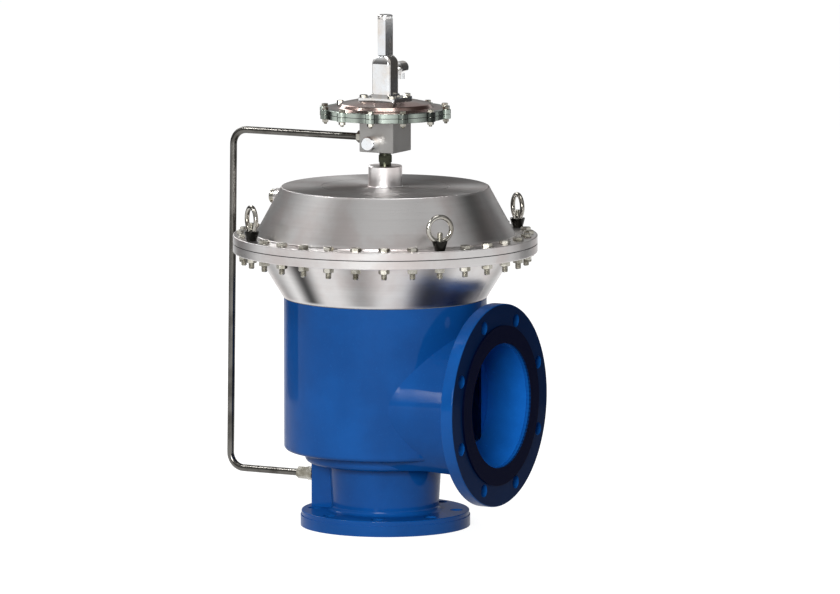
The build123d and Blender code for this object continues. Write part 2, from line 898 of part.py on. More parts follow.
with BuildPart() as casing_nuts:
    with BuildSketch(Plane.XY.offset(lower_flange_bottom)):
        with Locations(*all_places):
            RegularPolygon(bolt_af / 2, 6, major_radius=False)
            Circle(bolt_r + thread_gap, mode=Mode.SUBTRACT)
    extrude(amount=-nut_height)

with BuildPart(mode=Mode.PRIVATE) as one_eye:
    with BuildSketch(Plane.XZ):
        with Locations((0, eye_centre + eye_ring_r)):
            Ellipse(eye_section_axial / 2, eye_section_radial / 2)
    revolve(axis=Axis((0, 0, eye_centre), (1, 0, 0)))
    with BuildSketch(Plane.XZ):
        Polygon(
            (0, 0),
            (eye_base_foot_r, 0),
            (eye_base_top_r, eye_base_height),
            (0, eye_base_height),
            align=None,
        )
    revolve(axis=Axis.Z)
    with BuildSketch(Plane.XY):
        Circle(bolt_r + thread_gap)
    extrude(amount=eye_stud_end, mode=Mode.SUBTRACT)

with BuildPart() as eye_nuts:
    with Locations(*[Location((0, 0, upper_flange_top)) * place for place in eye_places]):
        add(one_eye.part)

# Sense line: two screwed connectors, two union nuts and the bent tube
half_tap = tap_thread_depth - small_edge
tap_face = -tap_reach
lower_hex_x = tap_face - lower_shank
lower_nut_x = lower_hex_x - lower_hex
lower_end_x = lower_nut_x - lower_nut
upper_hex_x = -half_block - upper_hex
upper_end_x = upper_hex_x - upper_nut


def fitting(stops, height):
    """A stepped fitting along X: each stop gives its start, its length, its size and if it is hexagonal."""
    with BuildPart() as piece:
        for start, length, size, is_hexagon in stops:
            with BuildSketch(Plane.YZ.offset(start)):
                with Locations((0, height)):
                    if is_hexagon:
                        RegularPolygon(size, 6, major_radius=False, rotation=30)
                    else:
                        Circle(size)
            extrude(amount=length)
        with BuildSketch(Plane.YZ.offset(stops[0][0])):
            with Locations((0, height)):
                Circle(tube_r - tube_wall)
        extrude(amount=sum(stop[1] for stop in stops), mode=Mode.SUBTRACT)
    return piece


sense_connector_lower = fitting(
    [
        (lower_nut_x, lower_hex, fitting_hex_af / 2, True),
        (lower_hex_x, lower_shank + half_tap, fitting_r, False),
    ],
    tap_z,
)
sense_connector_upper = fitting(
    [
        (upper_hex_x, upper_hex, fitting_hex_af / 2, True),
        (-half_block, half_tap, fitting_r, False),
    ],
    sense_z,
)

tube_hole = tube_r + running_gap
with BuildPart() as sense_nut_lower:
    with BuildSketch(Plane.YZ.offset(lower_end_x)):
        with Locations((0, tap_z)):
            RegularPolygon(nut_af / 2, 6, major_radius=False, rotation=30)
            Circle(tube_hole, mode=Mode.SUBTRACT)
    extrude(amount=lower_nut)

with BuildPart() as sense_nut_upper:
    with BuildSketch(Plane.YZ.offset(upper_end_x)):
        with Locations((0, sense_z)):
            RegularPolygon(nut_af / 2, 6, major_radius=False, rotation=30)
            Circle(tube_hole, mode=Mode.SUBTRACT)
    extrude(amount=upper_nut)

with BuildPart() as sense_tube:
    with BuildLine() as tube_path:
        FilletPolyline(
            (upper_hex_x, 0, sense_z),
            (-tube_top_x, 0, sense_z),
            (-tube_bottom_x, 0, tap_z),
            (lower_nut_x, 0, tap_z),
            radius=tube_bend_r,
        )
    with BuildSketch(tube_path.line ^ 0):
        Circle(tube_r)
        Circle(tube_r - tube_wall, mode=Mode.SUBTRACT)
    sweep()

# Hex nipple, pilot block and what is screwed into the block
with BuildPart() as pilot_nipple:
    with BuildSketch(Plane.XY.offset(boss_top - nipple_thread)):
        Circle(nipple_thread_r)
    extrude(amount=block_z + block_thread_depth - boss_top + nipple_thread)
    with BuildSketch(Plane.XY.offset(boss_top)):
        Circle(nipple_neck_r)
    extrude(amount=block_z - boss_top)
    with BuildSketch(Plane.XY.offset(nipple_hex_z)):
        RegularPolygon(nipple_hex_af / 2, 6, major_radius=False)
    extrude(amount=nipple_hex)
    with BuildSketch(Plane.XY.offset(boss_top - nipple_thread)):
        Circle(nipple_bore_r)
    extrude(amount=block_z + block_thread_depth - boss_top + nipple_thread, mode=Mode.SUBTRACT)

pilot_seat_z = block_z + block_thread_depth + seat_ring_height
chamber_top = pilot_seat_z + chamber_height
drill_x = -half_block + half_tap - drill_inset
with BuildPart() as pilot_block:
    with BuildSketch(Plane.XY.offset(block_z)):
        Rectangle(block_width, block_width)
    extrude(amount=block_height)
    chamfer(pilot_block.edges().filter_by(Axis.Z), small_edge)
    chamfer(pilot_block.edges().group_by(Axis.Z)[0], fine_edge)
    with BuildSketch(Plane.XZ):
        Polygon(
            (0, block_z),
            (nipple_thread_r + thread_gap, block_z),
            (nipple_thread_r + thread_gap, block_z + block_thread_depth),
            (seat_ring_r + thread_gap, block_z + block_thread_depth),
            (seat_ring_r + thread_gap, pilot_seat_z),
            (chamber_r, pilot_seat_z),
            (chamber_r, chamber_top),
            (bush_r + thread_gap, chamber_top),
            (bush_r + thread_gap, block_top),
            (0, block_top),
            align=None,
        )
    revolve(axis=Axis.Z, mode=Mode.SUBTRACT)
    with BuildSketch(Plane.YZ.offset(-half_block)):
        with Locations((0, sense_z)):
            Circle(fitting_r + thread_gap)
    extrude(amount=half_tap + small_edge, mode=Mode.SUBTRACT)
    with BuildSketch(Plane.XY.offset(block_top)):
        with Locations((drill_x, 0)):
            Circle(sense_drill_r)
    extrude(amount=sense_z - block_top, mode=Mode.SUBTRACT)
    with BuildSketch(Plane.XZ.offset(half_block)):
        with Locations((vent_port_x, vent_port_z)):
            Circle(fitting_r + thread_gap)
    extrude(amount=-(half_block - chamber_r + cross_drill), mode=Mode.SUBTRACT)
    with BuildSketch(Plane.XY.offset(block_top)):
        with GridLocations(2 * block_screw_at, 2 * block_screw_at, 2, 2):
            Circle(pilot_bolt_r + thread_gap)
    extrude(amount=-block_screw_depth, mode=Mode.SUBTRACT)

with BuildPart() as block_plug:
    with BuildSketch(Plane.XZ.offset(half_block)):
        with Locations((vent_port_x, vent_port_z)):
            Circle(vent_cap_r)
    extrude(amount=vent_cap_length)
    fillet(block_plug.faces().sort_by(Axis.Y)[0].edges(), round_edge)
    with BuildSketch(Plane.XZ.offset(half_block)):
        with Locations((vent_port_x, vent_port_z)):
            Circle(fitting_r)
    extrude(amount=-plug_tail)
    with BuildSketch(Plane.XZ.offset(half_block - plug_tail)):
        with Locations((vent_port_x, vent_port_z)):
            Circle(fitting_r - cap_wall)
    extrude(amount=plug_tail + vent_cap_length - cap_floor, mode=Mode.SUBTRACT)
    with BuildSketch(Plane.YZ.offset(vent_port_x)):
        with Locations((-half_block - cap_floor, vent_port_z - vent_cap_r)):
            Rectangle(cap_slot, 2 * chamber_r)
    extrude(amount=cap_slot / 2, both=True, mode=Mode.SUBTRACT)

with BuildPart() as pilot_seat:
    with BuildSketch(Plane.XY.offset(block_z + block_thread_depth)):
        Circle(seat_ring_r)
        Circle(nipple_bore_r, mode=Mode.SUBTRACT)
    extrude(amount=seat_ring_height)

with BuildPart() as pilot_bush:
    with BuildSketch(Plane.XY.offset(chamber_top)):
        Circle(bush_r)
        Circle(pilot_stem_r + running_gap, mode=Mode.SUBTRACT)
    extrude(amount=block_top - chamber_top)

# Pilot diaphragm casings with their scalloped rims
with BuildPart() as pilot_lower_casing:
    with BuildSketch(Plane.XY.offset(pilot_rim_z)):
        Circle(pilot_rim_r)
        with Locations(*pilot_places):
            Circle(pilot_lobe_r)
    extrude(amount=pilot_flange)
    fillet(pilot_lower_casing.edges().group_by(Axis.Z)[0], small_edge)
    with BuildSketch(Plane.XZ):
        Polygon(
            (0, block_top),
            (half_block + pilot_pad, block_top),
            (half_block + pilot_pad_rise, pilot_rim_z),
            (half_block + pilot_pad_rise, pilot_rim_z + overlap),
            (0, pilot_rim_z + overlap),
            align=None,
        )
    revolve(axis=Axis.Z)
    with BuildSketch(Plane.XZ):
        Polygon(
            (0, pilot_chamber_z),
            (block_screw_at * sqrt(2) + pilot_slope, pilot_chamber_z),
            (pilot_chamber_r - pilot_slope, pilot_rim_z + pilot_floor),
            (pilot_chamber_r, pilot_sheet_z),
            (0, pilot_sheet_z),
            align=None,
        )
    revolve(axis=Axis.Z, mode=Mode.SUBTRACT)
    with BuildSketch(Plane.XY.offset(block_top)):
        Circle(bush_r)
        with Locations((drill_x, 0)):
            Circle(sense_drill_r)
        with GridLocations(2 * block_screw_at, 2 * block_screw_at, 2, 2):
            Circle(pilot_bolt_r + pilot_hole_gap)
    extrude(amount=pilot_floor, mode=Mode.SUBTRACT)
    with BuildSketch(Plane.XY.offset(pilot_rim_z)):
        with Locations(*pilot_places):
            Circle(pilot_bolt_r + pilot_hole_gap)
    extrude(amount=pilot_flange, mode=Mode.SUBTRACT)

with BuildPart() as block_screws:
    with BuildSketch(Plane.XY.offset(pilot_chamber_z)):
        with GridLocations(2 * block_screw_at, 2 * block_screw_at, 2, 2):
            Circle(block_screw_head_r * pilot_bolt_r)
    extrude(amount=block_screw_head)
    with BuildSketch(Plane.XY.offset(pilot_chamber_z)):
        with GridLocations(2 * block_screw_at, 2 * block_screw_at, 2, 2):
            Circle(pilot_bolt_r)
    extrude(amount=-pilot_floor - block_screw_depth + small_edge)

with BuildPart() as pilot_upper_casing:
    with BuildSketch(Plane.XY.offset(pilot_upper_z)):
        Circle(pilot_rim_r)
        with Locations(*pilot_places):
            Circle(pilot_lobe_r)
    extrude(amount=pilot_flange)
    fillet(pilot_upper_casing.edges().group_by(Axis.Z)[-1], small_edge)
    with BuildSketch(Plane.XZ) as pilot_dome:
        Polygon(
            (0, pilot_top_z - small_edge),
            (pilot_step_out_r, pilot_top_z - small_edge),
            (pilot_step_out_r, pilot_top_z),
            (pilot_step_in_r + pilot_dome_lip, pilot_top_z + small_edge),
            (pilot_step_in_r, pilot_top_z + pilot_step_height),
            (pilot_flat_r, bonnet_z),
            (0, bonnet_z),
            align=None,
        )
        fillet(
            corners(pilot_dome, (pilot_step_in_r + pilot_dome_lip, pilot_top_z + small_edge)),
            pilot_dome_fillet,
        )
        fillet(corners(pilot_dome, (pilot_step_in_r, pilot_top_z + pilot_step_height)), pilot_top_fillet)
    revolve(axis=Axis.Z)
    with BuildSketch(Plane.XZ):
        Polygon(
            (0, pilot_upper_z),
            (pilot_chamber_r, pilot_upper_z),
            (pilot_chamber_r - pilot_wall, pilot_upper_z + pilot_plate),
            (pilot_step_in_r - pilot_wall, pilot_top_z + pilot_step_height - pilot_wall),
            (pilot_flat_r - pilot_wall, bonnet_z - pilot_wall),
            (0, bonnet_z - pilot_wall),
            align=None,
        )
    revolve(axis=Axis.Z, mode=Mode.SUBTRACT)
    with BuildSketch(Plane.XY.offset(bonnet_z)):
        with GridLocations(2 * bonnet_screw_at, 2 * bonnet_screw_at, 2, 2):
            Circle(screw_boss_r)
    extrude(amount=-screw_boss)
    with BuildSketch(Plane.XY.offset(bonnet_z)):
        Circle(spring_bore_r + overlap)
        with GridLocations(2 * bonnet_screw_at, 2 * bonnet_screw_at, 2, 2):
            Circle(bonnet_screw_r + thread_gap)
    extrude(amount=-screw_boss, mode=Mode.SUBTRACT)
    with BuildSketch(Plane.XY.offset(pilot_upper_z)):
        with Locations(*pilot_places):
            Circle(pilot_bolt_r + pilot_hole_gap)
    extrude(amount=pilot_flange, mode=Mode.SUBTRACT)

with BuildPart() as rim_bolts:
    with BuildSketch(Plane.XY.offset(pilot_top_z)):
        with Locations(*pilot_places):
            RegularPolygon(pilot_bolt_af / 2, 6, major_radius=False)
    extrude(amount=pilot_bolt_head)
    with BuildSketch(Plane.XY.offset(pilot_top_z)):
        with Locations(*pilot_places):
            Circle(pilot_bolt_r)
    extrude(amount=-(pilot_top_z - pilot_rim_z + pilot_nut + pilot_shank))

with BuildPart() as rim_nuts:
    with BuildSketch(Plane.XY.offset(pilot_rim_z)):
        with Locations(*pilot_places):
            RegularPolygon(pilot_bolt_af / 2, 6, major_radius=False)
            Circle(pilot_bolt_r + thread_gap, mode=Mode.SUBTRACT)
    extrude(amount=-pilot_nut)

# Pilot diaphragm, its plates and its stem with the poppet
with BuildPart() as pilot_diaphragm:
    with BuildSketch(Plane.XY.offset(pilot_sheet_z)):
        Circle(pilot_rim_r - sheet_edge)
        Circle(pilot_stem_r + running_gap, mode=Mode.SUBTRACT)
        with Locations(*pilot_places):
            Circle(pilot_bolt_r + pilot_hole_gap, mode=Mode.SUBTRACT)
    extrude(amount=pilot_sheet)

with BuildPart() as pilot_lower_plate:
    with BuildSketch(Plane.XY.offset(pilot_sheet_z)):
        Circle(pilot_plate_r)
        Circle(pilot_stem_r + thread_gap, mode=Mode.SUBTRACT)
    extrude(amount=-pilot_plate)

with BuildPart() as pilot_upper_plate:
    with BuildSketch(Plane.XY.offset(pilot_upper_z)):
        Circle(pilot_plate_r)
        Circle(pilot_stem_r + thread_gap, mode=Mode.SUBTRACT)
    extrude(amount=pilot_plate)

stem_nut_z = pilot_upper_z + pilot_plate
with BuildPart() as pilot_stem_nut:
    with BuildSketch(Plane.XY.offset(stem_nut_z)):
        RegularPolygon(small_nut_af / 2, 6, major_radius=False)
        Circle(pilot_stem_r + thread_gap, mode=Mode.SUBTRACT)
    extrude(amount=small_nut)

with BuildPart() as pilot_stem:
    with BuildSketch(Plane.XZ):
        Polygon(
            (0, pilot_seat_z),
            (poppet_r, pilot_seat_z),
            (poppet_r, pilot_seat_z + poppet_height),
            (pilot_stem_r, pilot_seat_z + poppet_height + poppet_taper),
            (pilot_stem_r, stem_nut_z + small_nut),
            (0, stem_nut_z + small_nut),
            align=None,
        )
    revolve(axis=Axis.Z)

stem_end_z = stem_nut_z + small_nut + small_edge
spring_foot_z = stem_end_z + button_floor
spring_spigot_r = spring_r - spring_wire_r - spigot_gap
button_cavity_r = small_nut_af / 2 * button_cavity
with BuildPart() as lower_spring_button:
    with BuildSketch(Plane.XZ):
        Polygon(
            (button_cavity_r, stem_nut_z),
            (button_r, stem_nut_z),
            (button_r, spring_foot_z),
            (spring_spigot_r, spring_foot_z),
            (spring_spigot_r, spring_foot_z + button_spigot),
            (0, spring_foot_z + button_spigot),
            (0, stem_end_z),
            (button_cavity_r, stem_end_z),
            align=None,
        )
    revolve(axis=Axis.Z)

with BuildPart() as upper_spring_button:
    with BuildSketch(Plane.XZ):
        Polygon(
            (0, set_button_z - button_spigot - small_edge),
            (spring_spigot_r, set_button_z - button_spigot - small_edge),
            (spring_spigot_r, set_button_z),
            (button_r, set_button_z),
            (button_r, set_button_z + button_rim),
            (set_screw_r + button_rim, set_button_top),
            (0, set_button_top),
            align=None,
        )
    revolve(axis=Axis.Z)

range_spring = coil_spring(
    spring_r, spring_wire_r, spring_foot_z + spring_gap, set_button_z - spring_gap, spring_turns
)

# Bonnet: square plate, square tower with a domed shoulder, and the vent's port at its back
shoulder_width = tower_width - shoulder_narrowing
with BuildPart() as bonnet:
    with BuildSketch(Plane.XY.offset(bonnet_z)):
        RectangleRounded(bonnet_plate_width, bonnet_plate_width, plate_corner_r)
    extrude(amount=bonnet_plate)
    with BuildSketch(Plane.XY.offset(bonnet_plate_top)):
        RectangleRounded(bonnet_foot_width, bonnet_foot_width, tower_edge_r + small_edge)
    extrude(amount=bonnet_foot, taper=foot_taper)
    with BuildSketch(Plane.XY.offset(bonnet_plate_top)):
        RectangleRounded(tower_width, tower_width, tower_edge_r)
    extrude(amount=bonnet_foot + tower_height)
    with BuildSketch(Plane.XY.offset(shoulder_z)):
        RectangleRounded(tower_width, tower_width, tower_edge_r)
    with BuildSketch(Plane.XY.offset(shoulder_z + shoulder_share * shoulder_height)):
        RectangleRounded(shoulder_width, shoulder_width, tower_edge_r + plate_corner_r)
    with BuildSketch(Plane.XY.offset(bonnet_top)):
        RectangleRounded(shoulder_top_width, shoulder_top_width, shoulder_top_width / 2 - fine_edge)
    loft()
    with BuildSketch(Plane.XY.offset(bonnet_top)):
        Circle(spigot_r)
    extrude(amount=spigot_height)
    with BuildSketch(Plane.XY.offset(bonnet_z)):
        Circle(spring_bore_r)
    extrude(amount=spring_ceiling - bonnet_z, mode=Mode.SUBTRACT)
    with BuildSketch(Plane.XY.offset(spring_ceiling)):
        Circle(set_screw_r + thread_gap)
    extrude(amount=spigot_top - spring_ceiling, mode=Mode.SUBTRACT)
    with BuildSketch(Plane.XY.offset(bonnet_z)):
        with GridLocations(2 * bonnet_screw_at, 2 * bonnet_screw_at, 2, 2):
            Circle(bonnet_screw_r + pilot_hole_gap)
    extrude(amount=bonnet_plate, mode=Mode.SUBTRACT)
    with BuildSketch(Plane.XZ.offset(-tower_width / 2)):
        with Locations((0, vent_z)):
            Circle(vent_neck_r + thread_gap)
    extrude(amount=tower_width / 2 - spring_bore_r + cross_drill, mode=Mode.SUBTRACT)

with BuildPart() as bonnet_screws:
    with BuildSketch(Plane.XY.offset(bonnet_plate_top)):
        with GridLocations(2 * bonnet_screw_at, 2 * bonnet_screw_at, 2, 2):
            RegularPolygon(bonnet_screw_af / 2, 6, major_radius=False)
    extrude(amount=bonnet_screw_head)
    with BuildSketch(Plane.XY.offset(bonnet_plate_top)):
        with GridLocations(2 * bonnet_screw_at, 2 * bonnet_screw_at, 2, 2):
            Circle(bonnet_screw_r)
    extrude(amount=-(bonnet_plate + bonnet_screw_depth))

# Bonnet vent: neck, barrel with a collar, and a mouth that looks down
vent_start_y = tower_width / 2 - vent_seat
barrel_y = tower_width / 2 + vent_neck
stub_y = barrel_y + vent_barrel - vent_stub_r - small_edge
with BuildPart() as bonnet_vent:
    with BuildSketch(Plane.XZ.offset(-vent_start_y)):
        with Locations((0, vent_z)):
            Circle(vent_neck_r)
    extrude(amount=-(vent_neck + vent_seat + small_edge))
    with BuildSketch(Plane.XZ.offset(-barrel_y)):
        with Locations((0, vent_z)):
            Circle(vent_barrel_r)
    extrude(amount=-vent_barrel)
    chamfer(bonnet_vent.faces().sort_by(Axis.Y)[-1].edges(), small_edge)
    with BuildSketch(Plane.XZ.offset(-barrel_y)):
        with Locations((0, vent_z)):
            Circle(vent_barrel_r + small_edge)
    extrude(amount=-vent_collar)
    with BuildSketch(Plane.XY.offset(vent_z)):
        with Locations((0, stub_y)):
            Circle(vent_stub_r)
    extrude(amount=-vent_stub_drop)
    with BuildSketch(Plane.XZ.offset(-vent_start_y)):
        with Locations((0, vent_z)):
            Circle(vent_neck_r - vent_wall)
    extrude(amount=-(stub_y - vent_start_y), mode=Mode.SUBTRACT)
    with BuildSketch(Plane.XY.offset(vent_z)):
        with Locations((0, stub_y)):
            Circle(vent_stub_r - vent_wall)
    extrude(amount=-vent_stub_drop, mode=Mode.SUBTRACT)
    with BuildSketch(Plane.XY.offset(vent_z - vent_stub_drop)):
        with Locations((0, stub_y)):
            Circle(vent_stub_r - vent_mouth_wall)
    extrude(amount=2 * vent_mouth_wall, mode=Mode.SUBTRACT)

with BuildPart() as vent_screen:
    with BuildSketch(Plane.XY.offset(vent_z - vent_stub_drop + vent_mouth_wall)):
        with Locations((0, stub_y)):
            Circle(vent_stub_r - vent_mouth_wall - running_gap)
    extrude(amount=screen_thickness)

# Adjusting screw, lock nut and the hexagonal cap over them
with BuildPart() as adjusting_screw:
    with BuildSketch(Plane.XZ) as screw_profile:
        Polygon(
            (0, set_button_top),
            (set_screw_r, set_button_top),
            (set_screw_r, spigot_top + set_screw_above),
            (0, spigot_top + set_screw_above),
            align=None,
        )
        chamfer(corners(screw_profile, (set_screw_r, spigot_top + set_screw_above)), fine_edge)
    revolve(axis=Axis.Z)
    with BuildSketch(Plane.XY.offset(spigot_top + set_screw_above)):
        Rectangle(2 * set_screw_r, slot_width)
    extrude(amount=-slot_depth, mode=Mode.SUBTRACT)

with BuildPart() as lock_nut:
    with BuildSketch(Plane.XY.offset(spigot_top)):
        RegularPolygon(lock_nut_af / 2, 6, major_radius=False)
        Circle(set_screw_r + thread_gap, mode=Mode.SUBTRACT)
    extrude(amount=lock_nut_height)

with BuildPart() as cap_washer:
    with BuildSketch(Plane.XY.offset(bonnet_top)):
        Circle(shoulder_top_width / 2 - fine_edge)
        Circle(spigot_r + running_gap, mode=Mode.SUBTRACT)
    extrude(amount=cap_gasket)

cap_z = bonnet_top + cap_gasket
cap_hex_top = cap_z + cap_height - cap_button - cap_groove
cap_bore_top = spigot_top + set_screw_above + set_up + cap_room
with BuildPart() as adjuster_cap:
    with BuildSketch(Plane.XY.offset(cap_z)):
        RegularPolygon(cap_af / 2, 6, major_radius=False)
    extrude(amount=cap_hex_top - cap_z)
    with BuildSketch(Plane.XY.offset(cap_hex_top)):
        Circle(cap_af / 2 - cap_groove_depth)
    extrude(amount=cap_groove)
    with BuildSketch(Plane.XY.offset(cap_hex_top + cap_groove)):
        Circle(cap_af / 2)
    extrude(amount=cap_button)
    fillet(adjuster_cap.edges().group_by(Axis.Z)[-1], cap_edge)
    with BuildSketch(Plane.XZ):
        Polygon(
            (0, cap_z),
            (spigot_r + thread_gap, cap_z),
            (spigot_r + thread_gap, spigot_top),
            (cap_bore_r, spigot_top + small_edge),
            (cap_bore_r, cap_bore_top - cap_drill_point),
            (cap_bore_r - cap_drill_point, cap_bore_top),
            (0, cap_bore_top),
            align=None,
        )
    revolve(axis=Axis.Z, mode=Mode.SUBTRACT)

pieces = {
    "body_casting": body_casting,
    "seat_nozzle": seat_nozzle,
    "nozzle_o_ring": nozzle_o_ring,
    "pallet": pallet,
    "seat_insert": seat_insert,
    "seat_retainer": seat_retainer,
    "pallet_nut": pallet_nut,
    "main_stem": main_stem,
    "body_gasket": body_gasket,
    "lower_casing": lower_casing,
    "casing_screws": casing_screws,
    "stem_bushes": stem_bushes,
    "stem_seal": stem_seal,
    "main_diaphragm": main_diaphragm,
    "lower_diaphragm_plate": lower_diaphragm_plate,
    "upper_diaphragm_plate": upper_diaphragm_plate,
    "stem_nut": stem_nut,
    "closing_spring": closing_spring,
    "upper_casing": upper_casing,
    "dome_plug": dome_plug,
    "casing_bolts": casing_bolts,
    "eye_studs": eye_studs,
    "casing_nuts": casing_nuts,
    "eye_nuts": eye_nuts,
    "sense_connector_lower": sense_connector_lower,
    "sense_nut_lower": sense_nut_lower,
    "sense_tube": sense_tube,
    "sense_nut_upper": sense_nut_upper,
    "sense_connector_upper": sense_connector_upper,
    "pilot_nipple": pilot_nipple,
    "pilot_block": pilot_block,
    "block_plug": block_plug,
    "pilot_seat": pilot_seat,
    "pilot_bush": pilot_bush,
    "pilot_lower_casing": pilot_lower_casing,
    "block_screws": block_screws,
    "pilot_upper_casing": pilot_upper_casing,
    "rim_bolts": rim_bolts,
    "rim_nuts": rim_nuts,
    "pilot_diaphragm": pilot_diaphragm,
    "pilot_lower_plate": pilot_lower_plate,
    "pilot_upper_plate": pilot_upper_plate,
    "pilot_stem_nut": pilot_stem_nut,
    "pilot_stem": pilot_stem,
    "lower_spring_button": lower_spring_button,
    "range_spring": range_spring,
    "upper_spring_button": upper_spring_button,
    "bonnet": bonnet,
    "bonnet_screws": bonnet_screws,
    "bonnet_vent": bonnet_vent,
    "vent_screen": vent_screen,
    "adjusting_screw": adjusting_screw,
    "lock_nut": lock_nut,
    "cap_washer": cap_washer,
    "adjuster_cap": adjuster_cap,
}
for name, piece in pieces.items():
    piece.part.label = name
    export_step(piece.part, f"parts/{name}.step")
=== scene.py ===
"""Looks of a pilot-operated relief valve: an enamelled angle body, spun diaphragm casings and the pilot.

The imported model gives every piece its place. Lengths are in metres, and angles are in radians unless a
name says degrees. The inlet's sealing face is at the origin, Z points up and X points out of the outlet.
"""

import logging
import math
from dataclasses import dataclass, field
from enum import Enum
from typing import Any, Callable, Optional, Sequence, Union

import bmesh
import bpy
from mathutils import Matrix, Vector


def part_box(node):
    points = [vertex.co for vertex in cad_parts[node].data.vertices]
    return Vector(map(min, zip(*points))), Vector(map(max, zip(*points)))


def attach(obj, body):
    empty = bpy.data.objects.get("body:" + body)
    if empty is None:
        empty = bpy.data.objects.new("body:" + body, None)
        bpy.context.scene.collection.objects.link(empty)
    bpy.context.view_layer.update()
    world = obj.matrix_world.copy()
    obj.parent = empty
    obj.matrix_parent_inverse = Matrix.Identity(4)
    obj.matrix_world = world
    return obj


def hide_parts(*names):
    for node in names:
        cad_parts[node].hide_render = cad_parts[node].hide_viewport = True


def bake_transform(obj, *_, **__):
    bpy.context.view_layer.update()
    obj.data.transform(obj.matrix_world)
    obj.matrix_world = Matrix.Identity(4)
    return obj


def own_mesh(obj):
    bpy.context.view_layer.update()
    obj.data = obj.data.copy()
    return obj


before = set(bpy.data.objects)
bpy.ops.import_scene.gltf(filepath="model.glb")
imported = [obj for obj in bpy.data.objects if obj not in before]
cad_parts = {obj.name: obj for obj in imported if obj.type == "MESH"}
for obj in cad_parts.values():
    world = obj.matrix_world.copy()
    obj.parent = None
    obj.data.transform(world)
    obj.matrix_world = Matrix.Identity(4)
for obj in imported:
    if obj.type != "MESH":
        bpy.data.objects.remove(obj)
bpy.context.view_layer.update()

log = logging.getLogger("relief_valve")

Number = Union[int, float]
Colour = tuple[float, float, float]
Point = tuple[float, float, float]

MM = 0.001
TURN = 2 * math.pi
SHARP_ANGLE = math.radians(32)
FINE_STEP = 0.4 * MM


def shade(red: int, green: int, blue: int) -> Colour:
    """Turns a display colour from 0 to 255 into the linear colour that a shader takes.

    Args:
        red: The red part.
        green: The green part.
        blue: The blue part.

    Returns:
        The three linear parts, from 0 to 1.
    """
    def linear(part: int) -> float:
        """Undoes the display curve for one part."""
        value = part / 255
        return value / 12.92 if value <= 0.04045 else ((value + 0.055) / 1.055) ** 2.4

    return linear(red), linear(green), linear(blue)


def operator(operation: str, flipped: bool = False) -> Callable[["Socket", Any], "Socket"]:
    """Makes the method of one operator, which adds a Math node to the socket's tree.

    Args:
        operation: The Math node's operation.
        flipped: Whether the socket comes second, as in 1 - mask.

    Returns:
        The method.
    """
    def method(self: "Socket", other: Union["Socket", Number]) -> "Socket":
        """Works on the socket and another value."""
        return self.tree.math(operation, *((other, self) if flipped else (self, other)))

    return method


class Socket:
    """One output in a node tree, with arithmetic that adds Math nodes to the tree."""

    def __init__(self, tree: "Tree", output: bpy.types.NodeSocket) -> None:
        """Keeps the tree and the output that later nodes link to."""
        self.tree = tree
        self.output = output

    def math(self, operation: str, *values: Union["Socket", Number]) -> "Socket":
        """Adds one Math node with this socket first.

        Args:
            operation: The Math node's operation.
            *values: Its other inputs.

        Returns:
            The node's result.
        """
        return self.tree.math(operation, self, *values)

    __add__, __radd__ = operator("ADD"), operator("ADD", True)
    __sub__, __rsub__ = operator("SUBTRACT"), operator("SUBTRACT", True)
    __mul__, __rmul__ = operator("MULTIPLY"), operator("MULTIPLY", True)
    __truediv__, __rtruediv__ = operator("DIVIDE"), operator("DIVIDE", True)
    __pow__, __mod__ = operator("POWER"), operator("FLOORED_MODULO")
    __lt__, __gt__ = operator("LESS_THAN"), operator("GREATER_THAN")

    def held(self) -> "Socket":
        """Keeps the value between 0 and 1."""
        return self.math("MAXIMUM", 0.0).math("MINIMUM", 1.0)

    def off(self, degrees: Number) -> "Socket":
        """Gives how far this angle is past one in degrees, from minus pi to pi."""
        return (self - math.radians(degrees) + math.pi * 5) % TURN - math.pi

    def rise(self, start: Number, end: Number) -> "Socket":
        """Climbs smoothly from 0 at start to 1 at end.

        Args:
            start: Where the climb starts.
            end: Where it ends. It may be below the start.

        Returns:
            The smooth step.
        """
        t = ((self - start) / (end - start)).held()
        return t * t * (3.0 - 2.0 * t)

    def bump_at(self, centre: Number, width: Number) -> "Socket":
        """Is 1 at a centre and fades smoothly to 0 a width away from it.

        Args:
            centre: Where the bump stands.
            width: How far its foot is from its centre.

        Returns:
            The bump.
        """
        return (self - centre).math("ABSOLUTE").rise(width, 0.0)


Value = Union[Socket, Number, Sequence[float], str, Any]
# The middle and the half width of each painted dark reflection band in degrees, and its depth
Bands = tuple[tuple[float, float, float], ...]


class Made:
    """A node that a tree has made, whose outputs are read by name."""

    def __init__(self, tree: "Tree", node: bpy.types.Node) -> None:
        """Keeps the tree and its node."""
        self.tree = tree
        self.node = node

    def __getitem__(self, key: Union[str, int]) -> Socket:
        """Gives one output as a socket."""
        return Socket(self.tree, self.tree.find(self.node.outputs, key))


